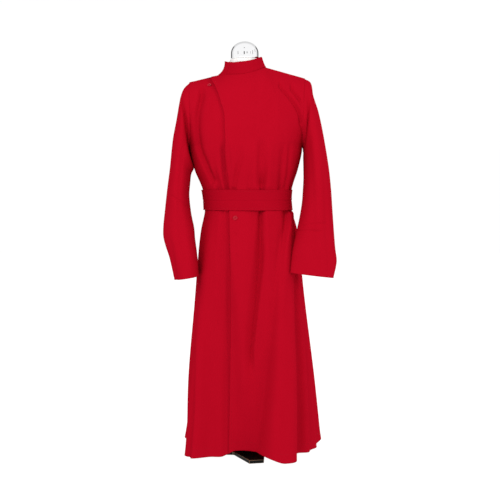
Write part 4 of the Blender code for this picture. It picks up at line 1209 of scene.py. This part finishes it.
# %% [markdown]
# A button lies flat on the cloth, whichever way the cloth leans there. So the nearest point of the
# cloth's grid gives the place, the grid's normal gives the tilt, and the finished button is moved
# there in its mesh. The upper one is sewn to the under front, just beside the over front's edge.

# %% Sew the buttons on
BUTTON_LIFT = 0.0003

# node; the cloth that carries it; place seen from the front; diameter
BUTTONS = (("button_skirt", over_places, (-0.0355, 0.8240), 0.015),
           ("button_shoulder", under_places, (-0.1240, 1.2740), 0.013))
for node, places, (x, z), diameter in BUTTONS:
    normals = grid_normals(places)
    spot = np.argmin((places[..., 0] - x)**2 + (places[..., 2] - z)**2)
    row, column = np.unravel_index(spot, places.shape[:2])
    near, normal = places[row, column], normals[row, column]
    y = near[1] - (normal[0] * (x - near[0]) + normal[2] * (z - near[2])) / normal[1]
    pose = frame_of(np.array((x, y, z)) + normal * BUTTON_LIFT, (1, 0, 0), normal)
    body = button_body(diameter / 2)
    bmesh.ops.transform(body, verts=body.verts[:], matrix=pose)
    item = sewn_piece(node + "_turned", body, button_red)
    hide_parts(node)
    turns = button_thread()
    bmesh.ops.transform(turns, verts=turns.verts[:], matrix=pose)
    sewn_piece(node + "_thread", turns, thread)
    if node == "button_skirt":
        skirt_pose = pose

# %% [markdown]
# The skirt button comes up through a hole worked in the over front. Purl stitches bind the hole's
# edge so closely that they look like one round cord. A ring spun round the middle and pulled apart
# into a long loop has that form.

# %% The buttonhole behind the skirt button
SLOT_HALF, SLOT_RADIUS, PURL_RADIUS, SLOT_STEPS = 0.0085, 0.0011, 0.0006, 24
ON_AXIS = 1e-6

work = bmesh.new()
start = ring_geometry(work, PURL_RADIUS, Matrix.Translation((SLOT_RADIUS, 0, 0))
                      @ Matrix.Rotation(math.pi / 2, 4, "X"))
bmesh.ops.spin(work, geom=start, cent=(0, 0, 0), axis=(0, 0, 1), angle=2 * math.pi,
               steps=SLOT_STEPS, use_merge=True)
for vert in work.verts:
    vert.co.x += math.copysign(SLOT_HALF, vert.co.x) if abs(vert.co.x) > ON_AXIS else 0
bmesh.ops.recalc_face_normals(work, faces=work.faces[:])
bmesh.ops.transform(work, verts=work.verts[:], matrix=skirt_pose)
sewn_piece("buttonhole_purl", work, thread)

# %% [markdown]
# ## Cap, form and stand
# The dress form is a hard shell, and its neck ends in a polished chrome cap. A metal spinner
# presses such a cap from a flat disc that turns on a lathe, so here it is a profile spun round an
# axis.

# %% Neck cap
CAP_AXIS, CAP_RADIUS, CAP_RIM = (-0.0042, 0.004), 0.048, 0.047
CAP_LOW, CAP_CHAMFER, CAP_DOME, CAP_TOP = 1.3673, 0.003, 1.389, 1.429
DOME_STEPS, CAP_STEPS = 14, 96
POLE_WELD = 0.00002         # the spun points on the axis fall together

# Chrome plate mirrors the whole room, and a thin haze of finger grease blurs it here and there.
SMEAR_SIZE = 0.02
chrome, chrome_shader = new_material("polished_chrome", Base_Color=linear("f6f6f7"), Metallic=1.0)
place = add_node(chrome, "ShaderNodeTexCoord")
smears = add_node(chrome, "ShaderNodeTexNoise",
                  {"Vector": place.outputs["Object"], "Scale": 1 / SMEAR_SIZE, "Detail": 3.0})
haze = add_node(chrome, "ShaderNodeMapRange",
                {"Value": smears.outputs["Fac"], "From Min": 0.4, "From Max": 0.8,
                 "To Min": 0.03, "To Max": 0.09})
chrome.node_tree.links.new(haze.outputs["Result"], chrome_shader.inputs["Roughness"])

work = bmesh.new()
profile = [(0, CAP_LOW), (CAP_RIM, CAP_LOW), (CAP_RADIUS, CAP_LOW + CAP_CHAMFER),
           (CAP_RADIUS, CAP_DOME)]
for step in range(1, DOME_STEPS + 1):
    turn = math.pi / 2 * step / DOME_STEPS
    profile.append((CAP_RADIUS * math.cos(turn), CAP_DOME + (CAP_TOP - CAP_DOME) * math.sin(turn)))
verts = [work.verts.new((CAP_AXIS[0] + radius, CAP_AXIS[1], z)) for radius, z in profile]
edges = [work.edges.new(pair) for pair in zip(verts, verts[1:])]
bmesh.ops.spin(work, geom=verts + edges, cent=(*CAP_AXIS, 0), axis=(0, 0, 1), angle=2 * math.pi,
               steps=CAP_STEPS, use_merge=True)
bmesh.ops.remove_doubles(work, verts=work.verts[:], dist=POLE_WELD)
bmesh.ops.recalc_face_normals(work, faces=work.faces[:])
cap = sewn_piece("neck_cap_spun", work, chrome)
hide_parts("neck_cap")

# %% [markdown]
# The stand is steel under black enamel. It takes two finishes: one for the enamel, and one for the
# edges, a tan, half-metal steel that paints a highlight along them and stands for bare metal where
# the enamel is rubbed off.

# %% Enamel, and tan steel that paints the edge highlight
# Baked enamel has a low shine. A faint orange peel breaks it up, and dust greys it in soft patches.
PEEL_SIZE, DUST_SIZE = 0.003, 0.05
enamel, enamel_shader = new_material("black_enamelled_steel", Specular_IOR_Level=0.12)
place = add_node(enamel, "ShaderNodeTexCoord")
orange_peel = add_node(enamel, "ShaderNodeTexNoise",
                       {"Vector": place.outputs["Object"], "Scale": 1 / PEEL_SIZE, "Detail": 1.0})
dust = add_node(enamel, "ShaderNodeTexNoise",
                {"Vector": place.outputs["Object"], "Scale": 1 / DUST_SIZE, "Detail": 4.0,
                 "Roughness": 0.6})
tone = add_node(enamel, "ShaderNodeMix",
                {"Factor": dust.outputs["Fac"], "A": linear("010101"), "B": linear("070707")},
                data_type="RGBA")
gloss = add_node(enamel, "ShaderNodeMapRange",
                 {"Value": dust.outputs["Fac"], "To Min": 0.45, "To Max": 0.65})
peel = add_node(enamel, "ShaderNodeBump",
                {"Strength": 0.1, "Distance": 0.0002, "Height": orange_peel.outputs["Fac"]})
links = enamel.node_tree.links
links.new(tone.outputs["Result"], enamel_shader.inputs["Base Color"])
links.new(gloss.outputs["Result"], enamel_shader.inputs["Roughness"])
links.new(peel.outputs["Normal"], enamel_shader.inputs["Normal"])

# Along the edges the tan steel paints a warm highlight, and stands for bare steel where the enamel
# has gone. Stains darken it in spots.
CHIP_SIZE = 0.015
edge_highlight_steel, edge_highlight_shader = new_material("tan_steel_painted_edge_highlight", Metallic=0.6, Roughness=0.5)
place = add_node(edge_highlight_steel, "ShaderNodeTexCoord")
chips = add_node(edge_highlight_steel, "ShaderNodeTexNoise",
                 {"Vector": place.outputs["Object"], "Scale": 1 / CHIP_SIZE, "Detail": 4.0})
tone = add_node(edge_highlight_steel, "ShaderNodeMix",
                {"Factor": chips.outputs["Fac"], "A": linear("2a2018"), "B": linear("a08468")},
                data_type="RGBA")
edge_highlight_steel.node_tree.links.new(tone.outputs["Result"], edge_highlight_shader.inputs["Base Color"])
print("Finishes of the stand:", enamel.name, "and", edge_highlight_steel.name)

# %% [markdown]
# The base is cut from plate with four feet, and its edges are eased. It is drawn as an outline,
# raised to the plate's thickness, and bevelled. A bevel has faces of its own, so they can take the
# tan finish that paints a highlight along the edges, and no texture has to find the edges.

# %% Base plate with a painted highlight on its edges
BASE_THICK, BASE_BEVEL = 0.012, 0.0015
FOOT_COUNT, FOOT_TURN = 4, 12  # degrees from straight ahead
FOOT_ROOT, FOOT_ROOT_HALF, FOOT_REACH, FOOT_TIP_HALF = 0.058, 0.0545, 0.174, 0.025
CORNER_WELD = 0.0001
FLAT_TURN = 0.2             # radians, less than which an edge isn't bevelled

work = bmesh.new()
outline = []
for foot in range(FOOT_COUNT):
    turn = math.radians(FOOT_TURN - 90 + foot * 360 / FOOT_COUNT)
    ahead = Vector((math.cos(turn), math.sin(turn), 0))
    aside = Vector((-math.sin(turn), math.cos(turn), 0))
    for reach, half in ((FOOT_ROOT, -FOOT_ROOT_HALF), (FOOT_REACH, -FOOT_TIP_HALF),
                        (FOOT_REACH, FOOT_TIP_HALF), (FOOT_ROOT, FOOT_ROOT_HALF)):
        outline.append(work.verts.new(ahead * reach + aside * half))
bmesh.ops.remove_doubles(work, verts=work.verts[:], dist=CORNER_WELD)
plate = work.faces.new([vert for vert in outline if vert.is_valid])
made = bmesh.ops.extrude_face_region(work, geom=[plate])["geom"]
top = [part for part in made if isinstance(part, bmesh.types.BMVert)]
bmesh.ops.translate(work, verts=top, vec=(0, 0, BASE_THICK))
bmesh.ops.recalc_face_normals(work, faces=work.faces[:])
edges = [edge for edge in work.edges
         if len(edge.link_faces) == 2 and edge.calc_face_angle() > FLAT_TURN]
rounded = bmesh.ops.bevel(work, geom=edges, offset=BASE_BEVEL, offset_type="OFFSET", affect="EDGES",
                          segments=2, profile=0.5, material=-1)
for face in rounded["faces"]:
    face.material_index = 1
base = sewn_piece("stand_base_plate", work, enamel)
# The second slot is the tan steel, which paints a highlight along every bevelled edge.
base.data.materials.append(edge_highlight_steel)
for face in base.data.polygons:
    face.use_smooth = False
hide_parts("stand_base")

# %% [markdown]
# The form's shell is covered with cotton jersey, a fine knit that stretches over it with no folds,
# and the pole is a plain enamelled tube. Both already have their true form as solids, so they only
# get their finish. Jersey is matt, and its fine ribs soften the shading. They are 0.8 mm apart on
# real jersey, and drawn 1.6 mm apart, or they would vanish.

# %% Jersey and pole
KNIT_RIB, PILL_SIZE = 0.0016, 0.01

jersey, jersey_shader = new_material("off_white_cotton_jersey", Roughness=0.9,
                                     Specular_IOR_Level=0.1)
place = add_node(jersey, "ShaderNodeTexCoord")
ribs = add_node(jersey, "ShaderNodeTexWave",
                {"Vector": place.outputs["Object"], "Scale": WAVE_PERIOD / KNIT_RIB,
                 "Distortion": 0.4},
                wave_type="BANDS", bands_direction="Z")
pills = add_node(jersey, "ShaderNodeTexNoise",
                 {"Vector": place.outputs["Object"], "Scale": 1 / PILL_SIZE, "Detail": 3.0})
tone = add_node(jersey, "ShaderNodeMix",
                {"Factor": pills.outputs["Fac"], "A": linear("efedea"), "B": linear("f7f6f4")},
                data_type="RGBA")
knit = add_node(jersey, "ShaderNodeBump",
                {"Strength": 0.3, "Distance": 0.0003, "Height": ribs.outputs["Fac"]})
links = jersey.node_tree.links
links.new(tone.outputs["Result"], jersey_shader.inputs["Base Color"])
links.new(knit.outputs["Normal"], jersey_shader.inputs["Normal"])

for node, material in (("form_body", jersey), ("stand_pole", enamel)):
    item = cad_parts[node]
    item.data.materials.clear()
    item.data.materials.append(material)
print("Finish of the form and the pole:", jersey.name, "and", enamel.name)
